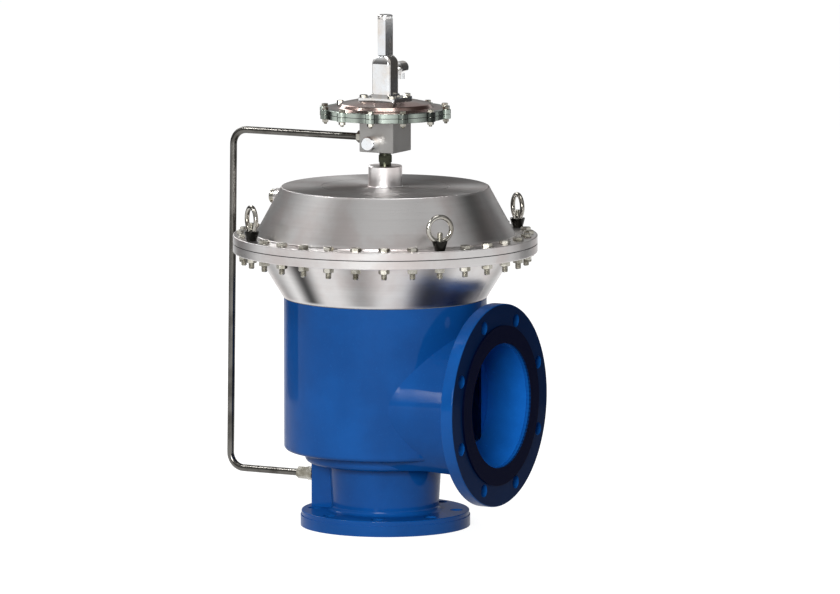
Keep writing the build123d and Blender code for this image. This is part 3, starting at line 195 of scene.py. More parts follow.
class Tree:
    """A shader or geometry tree that is built from Python expressions."""

    def __init__(self, tree: bpy.types.NodeTree) -> None:
        """Keeps the tree that the nodes go to."""
        self.tree = tree

    @staticmethod
    def find(sockets: Any, key: Union[str, int]) -> bpy.types.NodeSocket:
        """Finds a socket by its place, its identifier or its name.

        Args:
            sockets: A node's inputs or outputs.
            key: The place, identifier or name.

        Returns:
            The socket.
        """
        if isinstance(key, int):
            return sockets[key]
        for socket in sockets:
            if socket.identifier == key:
                return socket
        return sockets[key]

    def add(self, kind: str, settings: Optional[dict[str, Any]] = None,
            inputs: Optional[dict[Union[str, int], Value]] = None) -> Made:
        """Adds one node, sets what it is, then gives its inputs their values or links.

        Args:
            kind: The node's type.
            settings: Its settings, with a ramp's stops under the name stops.
            inputs: The value or the link of each input.

        Returns:
            The node.
        """
        node = self.tree.nodes.new(kind)
        for name, setting in (settings or {}).items():
            if name == "stops":
                ramp = node.color_ramp.elements
                while len(ramp) < len(setting):
                    ramp.new(1.0)
                for stop, (place, colour) in zip(ramp, setting):
                    stop.position = place
                    stop.color = (*colour, 1.0)
            else:
                setattr(node, name, setting)
        for key, value in (inputs or {}).items():
            socket = self.find(node.inputs, key)
            if isinstance(value, Made):
                value = value[0]
            if isinstance(value, Socket):
                self.tree.links.new(value.output, socket)
            elif socket.type == "RGBA":
                socket.default_value = (*value, 1.0)
            else:
                socket.default_value = value
        return Made(self, node)

    def math(self, operation: str, *values: Value) -> Socket:
        """Adds a Math node.

        Args:
            operation: What it does.
            *values: Its inputs in order.

        Returns:
            Its result.
        """
        return self.add("ShaderNodeMath", {"operation": operation}, dict(enumerate(values)))["Value"]

    def vector(self, x: Value, y: Value, z: Value) -> Socket:
        """Joins three numbers into a vector."""
        return self.add("ShaderNodeCombineXYZ", {}, {"X": x, "Y": y, "Z": z})["Vector"]

    def mix(self, share: Value, first: Value, second: Value) -> Socket:
        """Mixes two colours.

        Args:
            share: How much of the second there is.
            first: The colour at 0.
            second: The colour at 1.

        Returns:
            The mixed colour.
        """
        inputs = {"Factor_Float": share, "A_Color": first, "B_Color": second}
        return self.add("ShaderNodeMix", {"data_type": "RGBA"}, inputs)["Result_Color"]

    def brighten(self, colour: Value, amount: Value) -> Socket:
        """Multiplies a colour by a number.

        Args:
            colour: The colour.
            amount: The number, a value or a link.

        Returns:
            The brighter or darker colour.
        """
        inputs = {"Vector": colour, "Scale": amount}
        return self.add("ShaderNodeVectorMath", {"operation": "SCALE"}, inputs)["Vector"]

    def noise(self, place: Socket, scale: Number, detail: Number = 3.0, rough: Number = 0.5) -> Socket:
        """Adds a noise pattern.

        Args:
            place: The coordinates.
            scale: Waves per metre.
            detail: How many finer layers it has.
            rough: How strong the finer layers are.

        Returns:
            The noise, about 0.5 on average.
        """
        return self.add("ShaderNodeTexNoise", {}, {
            "Vector": place, "Scale": scale, "Detail": detail, "Roughness": rough,
        })["Fac"]


class ShaderTree(Tree):
    """The node tree of one material, with the coordinates that every finish uses."""

    def __init__(self, name: str) -> None:
        """Makes an empty material of that name."""
        self.material = bpy.data.materials.new(name)
        self.material.use_nodes = True
        self.material.node_tree.nodes.clear()
        super().__init__(self.material.node_tree)
        self.place = self.add("ShaderNodeTexCoord")["Object"]
        parts = self.add("ShaderNodeSeparateXYZ", {}, {"Vector": self.place})
        self.x, self.y, self.z = parts["X"], parts["Y"], parts["Z"]

    def dips(self, bands: Bands) -> Value:
        """Gives what soft painted reflection bands, dark bands round the axis, leave of the colour."""
        band: Value = 1.0
        for centre, width, depth in bands:
            band = (1.0 - self.azimuth().off(centre).bump_at(0.0, math.radians(width)) * depth) * band
        return band

    def radius(self) -> Socket:
        """Gives the distance from the valve's axis."""
        return (self.x * self.x + self.y * self.y) ** 0.5

    def azimuth(self) -> Socket:
        """Gives the angle round the valve's axis, from minus pi to pi."""
        return self.y.math("ARCTAN2", self.x)

    def bump(self, height: Value, distance: Number, strength: Number = 1.0) -> Socket:
        """Turns a height pattern into a bent normal.

        Args:
            height: The pattern, from 0 to 1.
            distance: How high 1 stands, in metres.
            strength: How much of it shows.

        Returns:
            The normal.
        """
        return self.add("ShaderNodeBump", {}, {
            "Height": height, "Distance": distance, "Strength": strength,
        })["Normal"]

    def surface(self, inputs: dict[str, Value]) -> bpy.types.Material:
        """Ends the tree with a Principled shader.

        Args:
            inputs: The shader's values and links.

        Returns:
            The material.
        """
        shader = self.add("ShaderNodeBsdfPrincipled", {}, inputs)
        self.add("ShaderNodeOutputMaterial", {}, {"Surface": shader["BSDF"]})
        return self.material


@dataclass(frozen=True)
class Enamel:
    """Glossy blue enamel over a sand casting, with a faint orange peel, painted shade on the outlet's sealing
    face and painted light inside the outlet bore.
    """

    name: str = "blue_enamel"
    slot: str = "blue_enamel"
    base: Colour = shade(15, 83, 158)
    thin: Colour = shade(22, 95, 174)
    deep: Colour = shade(12, 73, 142)
    # Painted shade: the deep navy that the outlet's sealing face is painted, for the shade on it
    shadow: Colour = shade(2, 6, 34)
    roughness: float = 0.3
    grain: float = 240.0
    peel: float = 900.0
    face_x: float = 0.2173
    bore_z: float = 0.216
    bore_r: float = 0.1042
    # Painted light: from where, and how much brighter, the enamel inside the outlet bore is painted
    bore_from: float = 0.08
    bore_painted_light: float = 0.8

    def build(self) -> bpy.types.Material:
        """Makes the material."""
        tree = ShaderTree(self.name)
        cloud = tree.noise(tree.place, 9.0, 4.0, 0.55)
        tint = tree.mix(cloud.rise(0.35, 0.72), self.deep, self.base)
        speck = tree.noise(tree.place, self.grain, 3.0, 0.6)
        tint = tree.mix(speck.rise(0.56, 0.8) * 0.35, tint, self.thin)
        rise = tree.z - self.bore_z
        reach = (tree.y * tree.y + rise * rise) ** 0.5
        # Painted shade: the outlet's sealing face outside the bore is painted deep navy; there its roughness
        # also rises and its coat falls
        face = tree.x.rise(self.face_x, self.face_x + FINE_STEP)
        face = face * reach.rise(self.bore_r, self.bore_r + FINE_STEP)
        tint = tree.mix(face, tint, self.shadow)
        # Painted light: the enamel inside the outlet bore is painted brighter
        inside = tree.x.rise(self.bore_from, self.bore_from + 0.02)
        inside = inside * reach.rise(self.bore_r + FINE_STEP, self.bore_r)
        tint = tree.brighten(tint, 1.0 + self.bore_painted_light * inside)
        wave = tree.noise(tree.place, 55.0, 3.0, 0.5)
        skin = tree.noise(tree.place, self.peel, 2.0, 0.4)
        height = wave * 0.75 + skin * 0.25
        rough = self.roughness + 0.09 * tree.noise(tree.place, 34.0, 5.0, 0.6) + 0.25 * face
        return tree.surface({
            "Base Color": tint,
            "Roughness": rough,
            "Specular IOR Level": 0.02,
            "Coat Weight": 0.2 * (1.0 - face),
            "Coat Roughness": 0.07,
            "Normal": tree.bump(height, 0.00035, 0.35),
        })


@dataclass(frozen=True)
class TurnedSteel:
    """Stainless steel with the fine rings of a lathe, whose sheen runs up and down the cones, with painted
    reflection bands round the cones where they are given.
    """

    name: str = "turned_stainless"
    slot: str = "brushed_stainless"
    base: Colour = shade(204, 202, 201)
    warm: Colour = shade(195, 188, 186)
    roughness: float = 0.3
    painted_reflection_bands: Bands = ()
    band_low: float = 0.0
    band_high: float = 0.0
    plate_low: float = 0.0
    plate_in: float = 0.0
    plate_shade: float = 1.0
    boss_gain: float = 1.0

    def build(self) -> bpy.types.Material:
        """Makes the material."""
        tree = ShaderTree(self.name)
        radius, angle = tree.radius(), tree.azimuth()
        line = tree.vector(radius, tree.z, angle * 0.004)
        fine = tree.noise(line, 1500.0, 4.0, 0.65)
        coarse = tree.noise(line, 210.0, 3.0, 0.6)
        cloud = tree.noise(tree.place, 14.0, 4.0, 0.55)
        tint = tree.mix(cloud.rise(0.4, 0.65), self.base, self.warm)
        tint = tree.brighten(tint, 0.88 + 0.16 * coarse + 0.06 * fine)
        # Painted reflection: dark bands by azimuth, between two heights, are painted into the steel's colour
        if self.painted_reflection_bands:
            band = tree.dips(self.painted_reflection_bands)
            zone = tree.z.rise(self.band_low, self.band_low + 0.006)
            zone = zone * tree.z.rise(self.band_high, self.band_high - 0.003)
            tint = tree.brighten(tint, 1.0 - zone * (1.0 - band))
        rough = self.roughness + 0.1 * (fine - 0.5) + 0.08 * (cloud - 0.5)
        if self.plate_low:
            above = tree.z.rise(self.plate_low, self.plate_low + FINE_STEP)
            plate = above * radius.rise(self.plate_in, self.plate_in + FINE_STEP)
            boss = above - plate
            gain = 1.0 - plate * (1.0 - self.plate_shade) + boss * (self.boss_gain - 1.0)
            tint = tree.brighten(tint, gain)
            rough = rough + 0.25 * plate
        return tree.surface({
            "Base Color": tint,
            "Metallic": 1.0,
            "Roughness": rough,
            "Anisotropic": 0.75,
            "Normal": tree.bump(fine * 0.6 + coarse * 0.4, 0.00006, 0.5),
        })


@dataclass(frozen=True)
class PolishedSteel:
    """Mirror-polished stainless steel with hairline scratches and a slight unevenness, with painted
    reflection bands on a rim and painted shade below a height where they are given.
    """

    name: str = "polished_stainless"
    slot: str = "polished_stainless"
    base: Colour = shade(236, 239, 242)
    warm: Colour = shade(226, 217, 208)
    # Painted shade: the near-black that the steel is painted below a given height
    dark: Colour = shade(36, 35, 33)
    edge: Colour = shade(182, 190, 180)
    roughness: float = 0.1
    painted_shade_below: float = 0.0
    rim_from: float = 0.0
    rim_painted_reflection_bands: Bands = ()

    def build(self) -> bpy.types.Material:
        """Makes the material."""
        tree = ShaderTree(self.name)
        cloud = tree.noise(tree.place, 26.0, 4.0, 0.55)
        stretched = tree.vector(tree.x * 3.0, tree.y * 3.0, tree.z * 0.35)
        hair = tree.noise(stretched, 700.0, 4.0, 0.7)
        wave = tree.noise(tree.place, 60.0, 2.0, 0.5)
        tint = tree.mix(cloud.rise(0.35, 0.7), self.base, self.warm)
        # Painted reflection: dark bands by azimuth are painted on the rim's side
        if self.rim_from:
            side = tree.radius().rise(self.rim_from, self.rim_from + 0.002)
            tint = tree.mix(side, tint, self.edge)
            tint = tree.brighten(tint, 1.0 - side * (1.0 - tree.dips(self.rim_painted_reflection_bands)))
        # Painted shade: below a given height the steel is painted near-black
        if self.painted_shade_below:
            tint = tree.mix(tree.z.rise(self.painted_shade_below, self.painted_shade_below - 0.0006), tint, self.dark)
        return tree.surface({
            "Base Color": tint,
            "Metallic": 1.0,
            "Roughness": self.roughness + 0.1 * hair.rise(0.5, 0.75) + 0.06 * (cloud - 0.5),
            "Normal": tree.bump(wave * 0.7 + hair * 0.3, 0.00008, 0.3),
        })


@dataclass(frozen=True)
class PlainMetal:
    """A metal whose grain, stain and gloss are given by a few numbers."""

    name: str
    slot: str
    base: Colour
    stain: Colour
    roughness: float
    grain: float
    relief: float
    metallic: float = 1.0

    def build(self) -> bpy.types.Material:
        """Makes the material."""
        tree = ShaderTree(self.name)
        cloud = tree.noise(tree.place, self.grain * 0.12, 4.0, 0.6)
        fine = tree.noise(tree.place, self.grain, 4.0, 0.6)
        return tree.surface({
            "Base Color": tree.mix(cloud.rise(0.38, 0.68), self.base, self.stain),
            "Metallic": self.metallic,
            "Roughness": self.roughness + 0.16 * (fine - 0.5) + 0.1 * (cloud - 0.5),
            "Normal": tree.bump(fine, self.relief, 0.5),
        })


@dataclass(frozen=True)
class MilledSteel:
    """A matt block face with the fine straight lines of a milling cutter."""

    name: str = "milled_block"
    slot: str = "machined_block"
    base: Colour = shade(172, 171, 169)
    stain: Colour = shade(156, 154, 151)
    roughness: float = 0.42

    def build(self) -> bpy.types.Material:
        """Makes the material."""
        tree = ShaderTree(self.name)
        line = tree.vector(tree.x * 0.05, tree.y * 0.05, tree.z)
        cut = tree.noise(line, 1900.0, 3.0, 0.6)
        cloud = tree.noise(tree.place, 45.0, 4.0, 0.55)
        return tree.surface({
            "Base Color": tree.brighten(tree.mix(cloud, self.base, self.stain), 0.92 + 0.14 * cut),
            "Metallic": 0.7,
            "Roughness": self.roughness + 0.12 * (cut - 0.5),
            "Normal": tree.bump(cut, 0.00005, 0.45),
        })


@dataclass(frozen=True)
class SoftSheet:
    """Rubber or gasket board: a matt skin with a fine grain and a paler dust."""

    name: str
    slot: str
    base: Colour
    dust: Colour
    roughness: float
    grain: float

    def build(self) -> bpy.types.Material:
        """Makes the material."""
        tree = ShaderTree(self.name)
        fine = tree.noise(tree.place, self.grain, 4.0, 0.65)
        cloud = tree.noise(tree.place, 30.0, 4.0, 0.55)
        return tree.surface({
            "Base Color": tree.mix(cloud.rise(0.42, 0.8) * 0.6, self.base, self.dust),
            "Roughness": self.roughness + 0.14 * (fine - 0.5),
            "Normal": tree.bump(fine, 0.00012, 0.6),
        })


@dataclass(frozen=True)
class PaleFloor:
    """A pale studio floor, which throws little light back at the valve and hides nothing from below."""

    name: str = "pale_floor"
    pale: Colour = (0.97, 0.97, 0.97)
    dull: Colour = (0.18, 0.18, 0.18)
    glow: float = 0.94
    lit: float = 0.3

    def build(self) -> bpy.types.Material:
        """Makes the material."""
        tree = ShaderTree(self.name)
        grain = tree.noise(tree.place, 40.0, 3.0, 0.5)
        tint = tree.brighten(self.pale, 0.985 + 0.03 * grain)
        path = tree.add("ShaderNodeLightPath")
        seen = (path["Is Camera Ray"] + path["Is Glossy Ray"] + path["Is Transmission Ray"]).held()
        pale = tree.add("ShaderNodeBsdfPrincipled", {}, {
            "Base Color": tree.brighten(tint, self.lit),
            "Roughness": 0.9,
            "Specular IOR Level": 0.0,
            "Emission Color": tint,
            "Emission Strength": self.glow,
        })
        dull = tree.add("ShaderNodeBsdfDiffuse", {}, {"Color": self.dull})
        both = tree.add("ShaderNodeMixShader", {}, {"Fac": seen, 1: dull, 2: pale})
        below = tree.add("ShaderNodeNewGeometry")["Backfacing"]
        clear = tree.add("ShaderNodeBsdfTransparent")
        floor = tree.add("ShaderNodeMixShader", {}, {"Fac": below, 1: both, 2: clear})
        tree.add("ShaderNodeOutputMaterial", {}, {"Surface": floor["Shader"]})
        return tree.material


@dataclass(frozen=True)
class BlackCard:
    """Matt black card, for the flags that give the bright metal its dark edges."""

    name: str = "black_card"
    ink: Colour = (0.05, 0.05, 0.052)
    worn: Colour = (0.075, 0.075, 0.075)

    def build(self) -> bpy.types.Material:
        """Makes the material."""
        tree = ShaderTree(self.name)
        return tree.surface({
            "Base Color": tree.mix(tree.noise(tree.place, 6.0), self.ink, self.worn),
            "Roughness": 0.95,
            "Specular IOR Level": 0.1,
        })


Finish = Union[Enamel, TurnedSteel, PolishedSteel, PlainMetal, MilledSteel, SoftSheet, PaleFloor, BlackCard]

ENAMEL = Enamel()
TURNED = TurnedSteel()
# Painted reflection: dark bands round the lower cone are painted into its colour
LOWER_CONE = TurnedSteel(
    name="lower_cone_steel",
    painted_reflection_bands=(
        (-127.0, 12.0, 0.5), (-105.0, 11.0, 0.93), (-74.0, 14.0, 0.5), (-39.0, 14.0, 0.6),
        (6.0, 12.0, 0.4), (60.0, 22.0, 0.7), (118.0, 20.0, 0.6), (175.0, 26.0, 0.7),
    ),
    band_low=0.387,
    band_high=0.4625,
)
# Painted reflection: dark bands round the upper cone are painted into its colour
UPPER_DOME = TurnedSteel(
    name="upper_dome_steel",
    painted_reflection_bands=(
        (-86.0, 16.0, 0.25), (-10.0, 12.0, 0.5), (40.0, 20.0, 0.35), (100.0, 18.0, 0.4), (160.0, 20.0, 0.3),
    ),
    band_low=0.4925,
    band_high=0.5705,
    plate_low=0.5712,
    plate_in=0.0292,
    plate_shade=0.46,
    boss_gain=1.5,
)
POLISHED = PolishedSteel()
TUBE = PolishedSteel("tube_steel", base=shade(104, 102, 98), warm=shade(74, 72, 68), roughness=0.2)
# Painted shade: the eye nut's foot, next to the flange, is painted near-black
EYE_STEEL = PolishedSteel(
    "eye_steel", base=shade(176, 173, 166), warm=shade(120, 114, 104), roughness=0.18, painted_shade_below=0.5078,
)
# Painted reflection: dark bands round the pilot's rim are painted into its colour
PILOT_STEEL = PolishedSteel(
    "pilot_steel", base=shade(172, 156, 149), warm=shade(152, 118, 110), edge=shade(178, 188, 179),
    roughness=0.17,
    rim_from=0.094,
    rim_painted_reflection_bands=(
        (-127.0, 14.0, 0.8), (-84.0, 7.0, 0.6), (-69.0, 6.0, 0.93), (-43.0, 13.0, 0.85), (-16.0, 20.0, 0.95),
        (20.0, 14.0, 0.4), (60.0, 14.0, 0.6), (110.0, 16.0, 0.4), (160.0, 16.0, 0.6),
    ),
)
FASTENER = PlainMetal(
    "fastener_steel", "fastener_steel", shade(186, 183, 174), shade(130, 126, 114), 0.26, 420.0, 0.00006,
)
DARK_NIPPLE = PlainMetal(
    "blued_steel", "fastener_steel", shade(72, 74, 62), shade(44, 44, 38), 0.3, 420.0, 0.00006,
)
BRONZE = PlainMetal("bronze", "bronze", shade(176, 138, 84), shade(132, 96, 54), 0.34, 380.0, 0.00008)
SPRING = PlainMetal(
    "spring_steel", "spring_steel", shade(120, 118, 116), shade(84, 80, 78), 0.36, 500.0, 0.00006,
)
MILLED = MilledSteel()
RUBBER = SoftSheet("black_rubber", "black_rubber", shade(30, 30, 32), shade(62, 60, 58), 0.62, 900.0)
GASKET = SoftSheet("grey_gasket", "grey_gasket", shade(122, 124, 122), shade(150, 150, 146), 0.82, 700.0)
FLOOR = PaleFloor()
CARD = BlackCard()

PAINTED: dict[str, bpy.types.Material] = {}


def paint(finish: Finish) -> bpy.types.Material:
    """Gives the material of a finish, and makes it the first time.

    Args:
        finish: The finish.

    Returns:
        Its material.
    """
    if finish.name not in PAINTED:
        PAINTED[finish.name] = finish.build()
    return PAINTED[finish.name]


class Bevel(Enum):
    """Which ends of a six-sided solid have their corners turned off."""

    TOP = "top"
    BOTH = "both"


def add_object(name: str, mesh: bpy.types.Mesh, finish: Optional[Finish] = None) -> bpy.types.Object:
    """Puts a mesh into the scene.

    Args:
        name: The new object's name.
        mesh: Its mesh.
        finish: What the mesh is painted with, if it hasn't its material yet.

    Returns:
        The object.
    """
    if finish:
        mesh.materials.append(paint(finish))
    piece = bpy.data.objects.new(name, mesh)
    bpy.context.scene.collection.objects.link(piece)
    return piece


@dataclass
class LoopStack:
    """A mesh of loops round the Z axis, in metres. Each method that adds loops gives the stack back."""

    segments: int = 36
    loops: list[list[Point]] = field(default_factory=list)

    def loop(self, shape: Callable[[float], tuple[float, float]]) -> "LoopStack":
        """Adds a loop, from a function that gives the radius and the height at an angle."""
        points = []
        for i in range(self.segments):
            angle = TURN * i / self.segments
            radius, height = shape(angle)
            points.append((radius * math.cos(angle), radius * math.sin(angle), height))
        self.loops.append(points)
        return self

    def circle(self, radius: float, height: float) -> "LoopStack":
        """Adds a round loop."""
        return self.loop(lambda angle: (radius, height))

    def hexagon(self, flats: float, height: float, slope: float = 0.0) -> "LoopStack":
        """Adds a six-sided loop.

        Args:
            flats: The distance across its flats.
            height: Where the middle of each side is.
            slope: How fast the loop sinks towards its corners.
        """
        def shape(angle: float) -> tuple[float, float]:
            """Gives the side's reach and height at an angle."""
            reach = flats / 2 / math.cos((angle + TURN / 12) % (TURN / 6) - TURN / 12)
            return reach, height - slope * (reach - flats / 2)

        return self.loop(shape)

    def hex_solid(self, flats: float, low: float, high: float, bevel: Bevel) -> "LoopStack":
        """Adds the outside of a bolt head or nut, from its lower to its upper face.

        Args:
            flats: The distance across its flats.
            low: The lower face.
            high: The upper face.
            bevel: Which ends have their corners turned off.
        """
        slope, crown, washer = math.tan(math.radians(30)), 0.47 * flats, 0.4 * MM
        drop = slope * (flats / 2 - crown)
        if bevel is Bevel.BOTH:
            self.circle(crown, low).hexagon(flats, low + drop, -slope)
        else:
            self.circle(crown, low).circle(crown, low + washer).hexagon(flats, low + washer)
        return self.hexagon(flats, high - drop, slope).circle(crown, high)

    def thread(self, radius: float, low: float, high: float, pitch: float = 1.5 * MM) -> "LoopStack":
        """Adds the grooves of a thread.

        Args:
            radius: The radius of its crests.
            low: Its lower end.
            high: Its upper end.
            pitch: The distance between crests.
        """
        turns = max(1, round((high - low) / pitch))
        step = (high - low) / turns
        root = radius - 0.45 * pitch
        for i in range(turns):
            foot = low + i * step
            self.circle(root, foot).circle(radius, foot + 0.4 * step).circle(radius, foot + 0.6 * step)
        return self.circle(root, high)

    def shank(self, radius: float, end: float, foot: float, tip: tuple[float, float, float], neck: float,
              pitch: float = 1.5 * MM) -> "LoopStack":
        """Adds a bolt's shank, from its tip to where the thread has run out.

        Args:
            radius: The bolt's radius.
            end: The height of its tip.
            foot: The height of the nut's lower face.
            tip: How far in the tip's two edges are, and how high the second one stands.
            neck: How far above the foot the plain part starts.
            pitch: The thread's pitch.
        """
        self.circle(radius - tip[0], end).circle(radius - tip[1], end + tip[2])
        self.thread(radius, end + tip[2] + 0.1 * MM, foot + 0.6 * MM, pitch)
        return self.circle(radius, foot + neck)

    def nut(self, radius: float, flats: float, height: float, inset: float, mouth: float) -> "LoopStack":
        """Adds a nut that stands on the origin.

        Args:
            radius: The bolt's radius.
            flats: The distance across its flats.
            height: Its height.
            inset: How much smaller the bore is than the bolt, and how deep its chamfers are.
            mouth: How much wider the chamfers are than the bolt.
        """
        bore, wide = radius - inset, radius + mouth
        self.circle(bore, inset).circle(wide, 0.0).hex_solid(flats, 0.0, height, Bevel.BOTH)
        return self.circle(wide, height).circle(bore, height - inset)

    def mesh(self, name: str, hollow: bool = False) -> bpy.types.Mesh:
        """Joins the loops into a mesh with smooth faces and sharp edges.

        Args:
            name: The mesh's name.
            hollow: Whether the last loop joins the first, as in a ring, and not two flat ends.

        Returns:
            The mesh.
        """
        n, count = self.segments, len(self.loops)
        pairs = [(i, i + 1) for i in range(count - 1)]
        faces: list[tuple[int, ...]] = []
        if hollow:
            pairs.append((count - 1, 0))
        else:
            faces.append(tuple(reversed(range(n))))
            faces.append(tuple(range((count - 1) * n, count * n)))
        for low, high in pairs:
            for i in range(n):
                j = (i + 1) % n
                faces.append((low * n + i, low * n + j, high * n + j, high * n + i))
        mesh = bpy.data.meshes.new(name)
        mesh.from_pydata([point for loop in self.loops for point in loop], [], faces)
        mesh.polygons.foreach_set("use_smooth", [True] * len(faces))
        mesh.set_sharp_from_angle(angle=SHARP_ANGLE)
        mesh.update()
        return mesh


def sheet_mesh(name: str, radii: Sequence[float], height: Callable[[float], float], thick: float,
               segments: int, edge: Optional[Callable[[float], float]] = None) -> bpy.types.Mesh:
    """Makes a round sheet with a hole.

    Args:
        name: The mesh's name.
        radii: Where its loops are, outwards.
        height: Gives the height of its lower face at a radius.
        thick: Its thickness.
        segments: How many points each loop has.
        edge: Gives the reach of its outer edge at an angle, if that isn't round.

    Returns:
        The mesh.
    """
    stack, rim = LoopStack(segments=segments), height(radii[-1])
    for radius in radii:
        stack.circle(radius, height(radius))
    if edge:
        stack.loop(lambda angle: (edge(angle), rim)).loop(lambda angle: (edge(angle), rim + thick))
    for radius in reversed(radii):
        stack.circle(radius, height(radius) + thick)
    return stack.mesh(name, hollow=True)


class GeometryTree(Tree):
    """A Geometry Nodes tree with named inputs, whose last input is the finish."""

    def __init__(self, name: str, sizes: dict[str, str]) -> None:
        """Makes a tree with one input for each size, from the kinds of their sockets."""
        group = bpy.data.node_groups.new(name, "GeometryNodeTree")
        super().__init__(group)
        for label, kind in {**sizes, "Finish": "Material"}.items():
            group.interface.new_socket(name=label, in_out="INPUT", socket_type="NodeSocket" + kind)
        group.interface.new_socket(name="Mesh", in_out="OUTPUT", socket_type="NodeSocketGeometry")
        self.sizes = self.add("NodeGroupInput")

    def end(self, shape: Socket) -> "GeometryTree":
        """Makes the copies in a geometry real, gives them the finish, ends the tree and gives it back."""
        real = self.add("GeometryNodeRealizeInstances", {}, {"Geometry": shape})
        done = self.add("GeometryNodeSetMaterial", {}, {"Geometry": real, "Material": self.sizes["Finish"]})
        self.add("NodeGroupOutput", {}, {"Mesh": done})
        return self

    def make(self, name: str, values: dict[str, Any]) -> bpy.types.Object:
        """Runs the tree once and keeps its result as a plain mesh.

        Args:
            name: The new piece's name.
            values: What each input gets.

        Returns:
            The piece.
        """
        piece = add_object(name, bpy.data.meshes.new(name + "_host"))
        modifier = piece.modifiers.new("maker", "NODES")
        modifier.node_group = self.tree
        for item in self.tree.interface.items_tree:
            if item.in_out == "INPUT":
                modifier[item.identifier] = values[item.name]
        graph = bpy.context.evaluated_depsgraph_get()
        graph.update()
        mesh = bpy.data.meshes.new_from_object(
            piece.evaluated_get(graph), preserve_all_data_layers=True, depsgraph=graph,
        )
        piece.modifiers.clear()
        piece.data = mesh
        mesh.name = name
        return piece


def ring_tree() -> GeometryTree:
    """Makes the tree that sets copies of one part evenly round the axis."""
    floats = dict.fromkeys(("Radius", "Height", "First Angle", "Wobble"), "Float")
    counts = dict.fromkeys(("Count", "Skip Step", "Skip Start", "Seed"), "Int")
    tree = GeometryTree("ring_of_parts", {"Part": "Object", **floats, **counts})
    sizes = tree.sizes
    index = tree.add("GeometryNodeInputIndex")["Index"]
    angle = sizes["First Angle"] + index / sizes["Count"] * TURN
    along, across = angle.math("COSINE") * sizes["Radius"], angle.math("SINE") * sizes["Radius"]
    place = tree.vector(along, across, sizes["Height"])
    points = tree.add("GeometryNodePoints", {}, {"Count": sizes["Count"], "Position": place})
    left_out = ((index - sizes["Skip Start"]) % sizes["Skip Step"] < 0.5) * (sizes["Skip Step"] > 0.5)
    kept = tree.add("GeometryNodeDeleteGeometry", {"domain": "POINT"}, {
        "Geometry": points, "Selection": left_out,
    })
    here = tree.add("ShaderNodeSeparateXYZ", {}, {"Vector": tree.add("GeometryNodeInputPosition")})
    wobble = tree.add("FunctionNodeRandomValue", {"data_type": "FLOAT"}, {
        "Min_001": 0.0 - sizes["Wobble"], "Max_001": sizes["Wobble"], "Seed": sizes["Seed"],
    })["Value_001"]
    turn = here["Y"].math("ARCTAN2", here["X"]) + wobble
    part = tree.add("GeometryNodeObjectInfo", {"transform_space": "ORIGINAL"}, {"Object": sizes["Part"]})
    copies = tree.add("GeometryNodeInstanceOnPoints", {}, {
        "Points": kept, "Instance": part["Geometry"], "Rotation": tree.vector(0.0, 0.0, turn),
    })
    return tree.end(copies[0])


def coil_tree() -> GeometryTree:
    """Makes the tree of a compression spring, or a stretch of it, whose end turns lie flat."""
    labels = ("Turns", "Radius", "Wire", "Length", "Foot", "From", "To")
    tree = GeometryTree("coil_spring", dict.fromkeys(labels, "Float"))
    sizes = tree.sizes
    line = tree.add("GeometryNodeCurveSpiral", {}, {
        "Resolution": 64, "Rotations": sizes["Turns"], "Start Radius": sizes["Radius"],
        "End Radius": sizes["Radius"], "Height": 0.0,
    })
    along = tree.add("GeometryNodeSplineParameter")["Factor"]
    flat_ends = along - 0.8 / TURN * (along * TURN).math("SINE")
    height = sizes["Foot"] + sizes["Wire"] + flat_ends * (sizes["Length"] - 2.0 * sizes["Wire"])
    lifted = tree.add("GeometryNodeSetPosition", {}, {
        "Geometry": line, "Offset": tree.vector(0.0, 0.0, height),
    })
    kept = tree.add("GeometryNodeTrimCurve", {"mode": "FACTOR"}, {
        "Curve": lifted, "Start": sizes["From"], "End": sizes["To"],
    })
    wire = tree.add("GeometryNodeCurvePrimitiveCircle", {"mode": "RADIUS"}, {
        "Resolution": 20, "Radius": sizes["Wire"],
    })
    tube = tree.add("GeometryNodeCurveToMesh", {}, {"Curve": kept, "Profile Curve": wire, "Fill Caps": True})
    return tree.end(tree.add("GeometryNodeSetShadeSmooth", {}, {"Geometry": tube})[0])


TREES: dict[Callable[[], GeometryTree], GeometryTree] = {}


def tree_of(maker: Callable[[], GeometryTree]) -> GeometryTree:
    """Gives the one tree of a maker, and makes it the first time."""
    if maker not in TREES:
        TREES[maker] = maker()
    return TREES[maker]


# A finish and the CAD nodes that it goes on, with spaces between their names
Looks = tuple[tuple[Finish, str], ...]


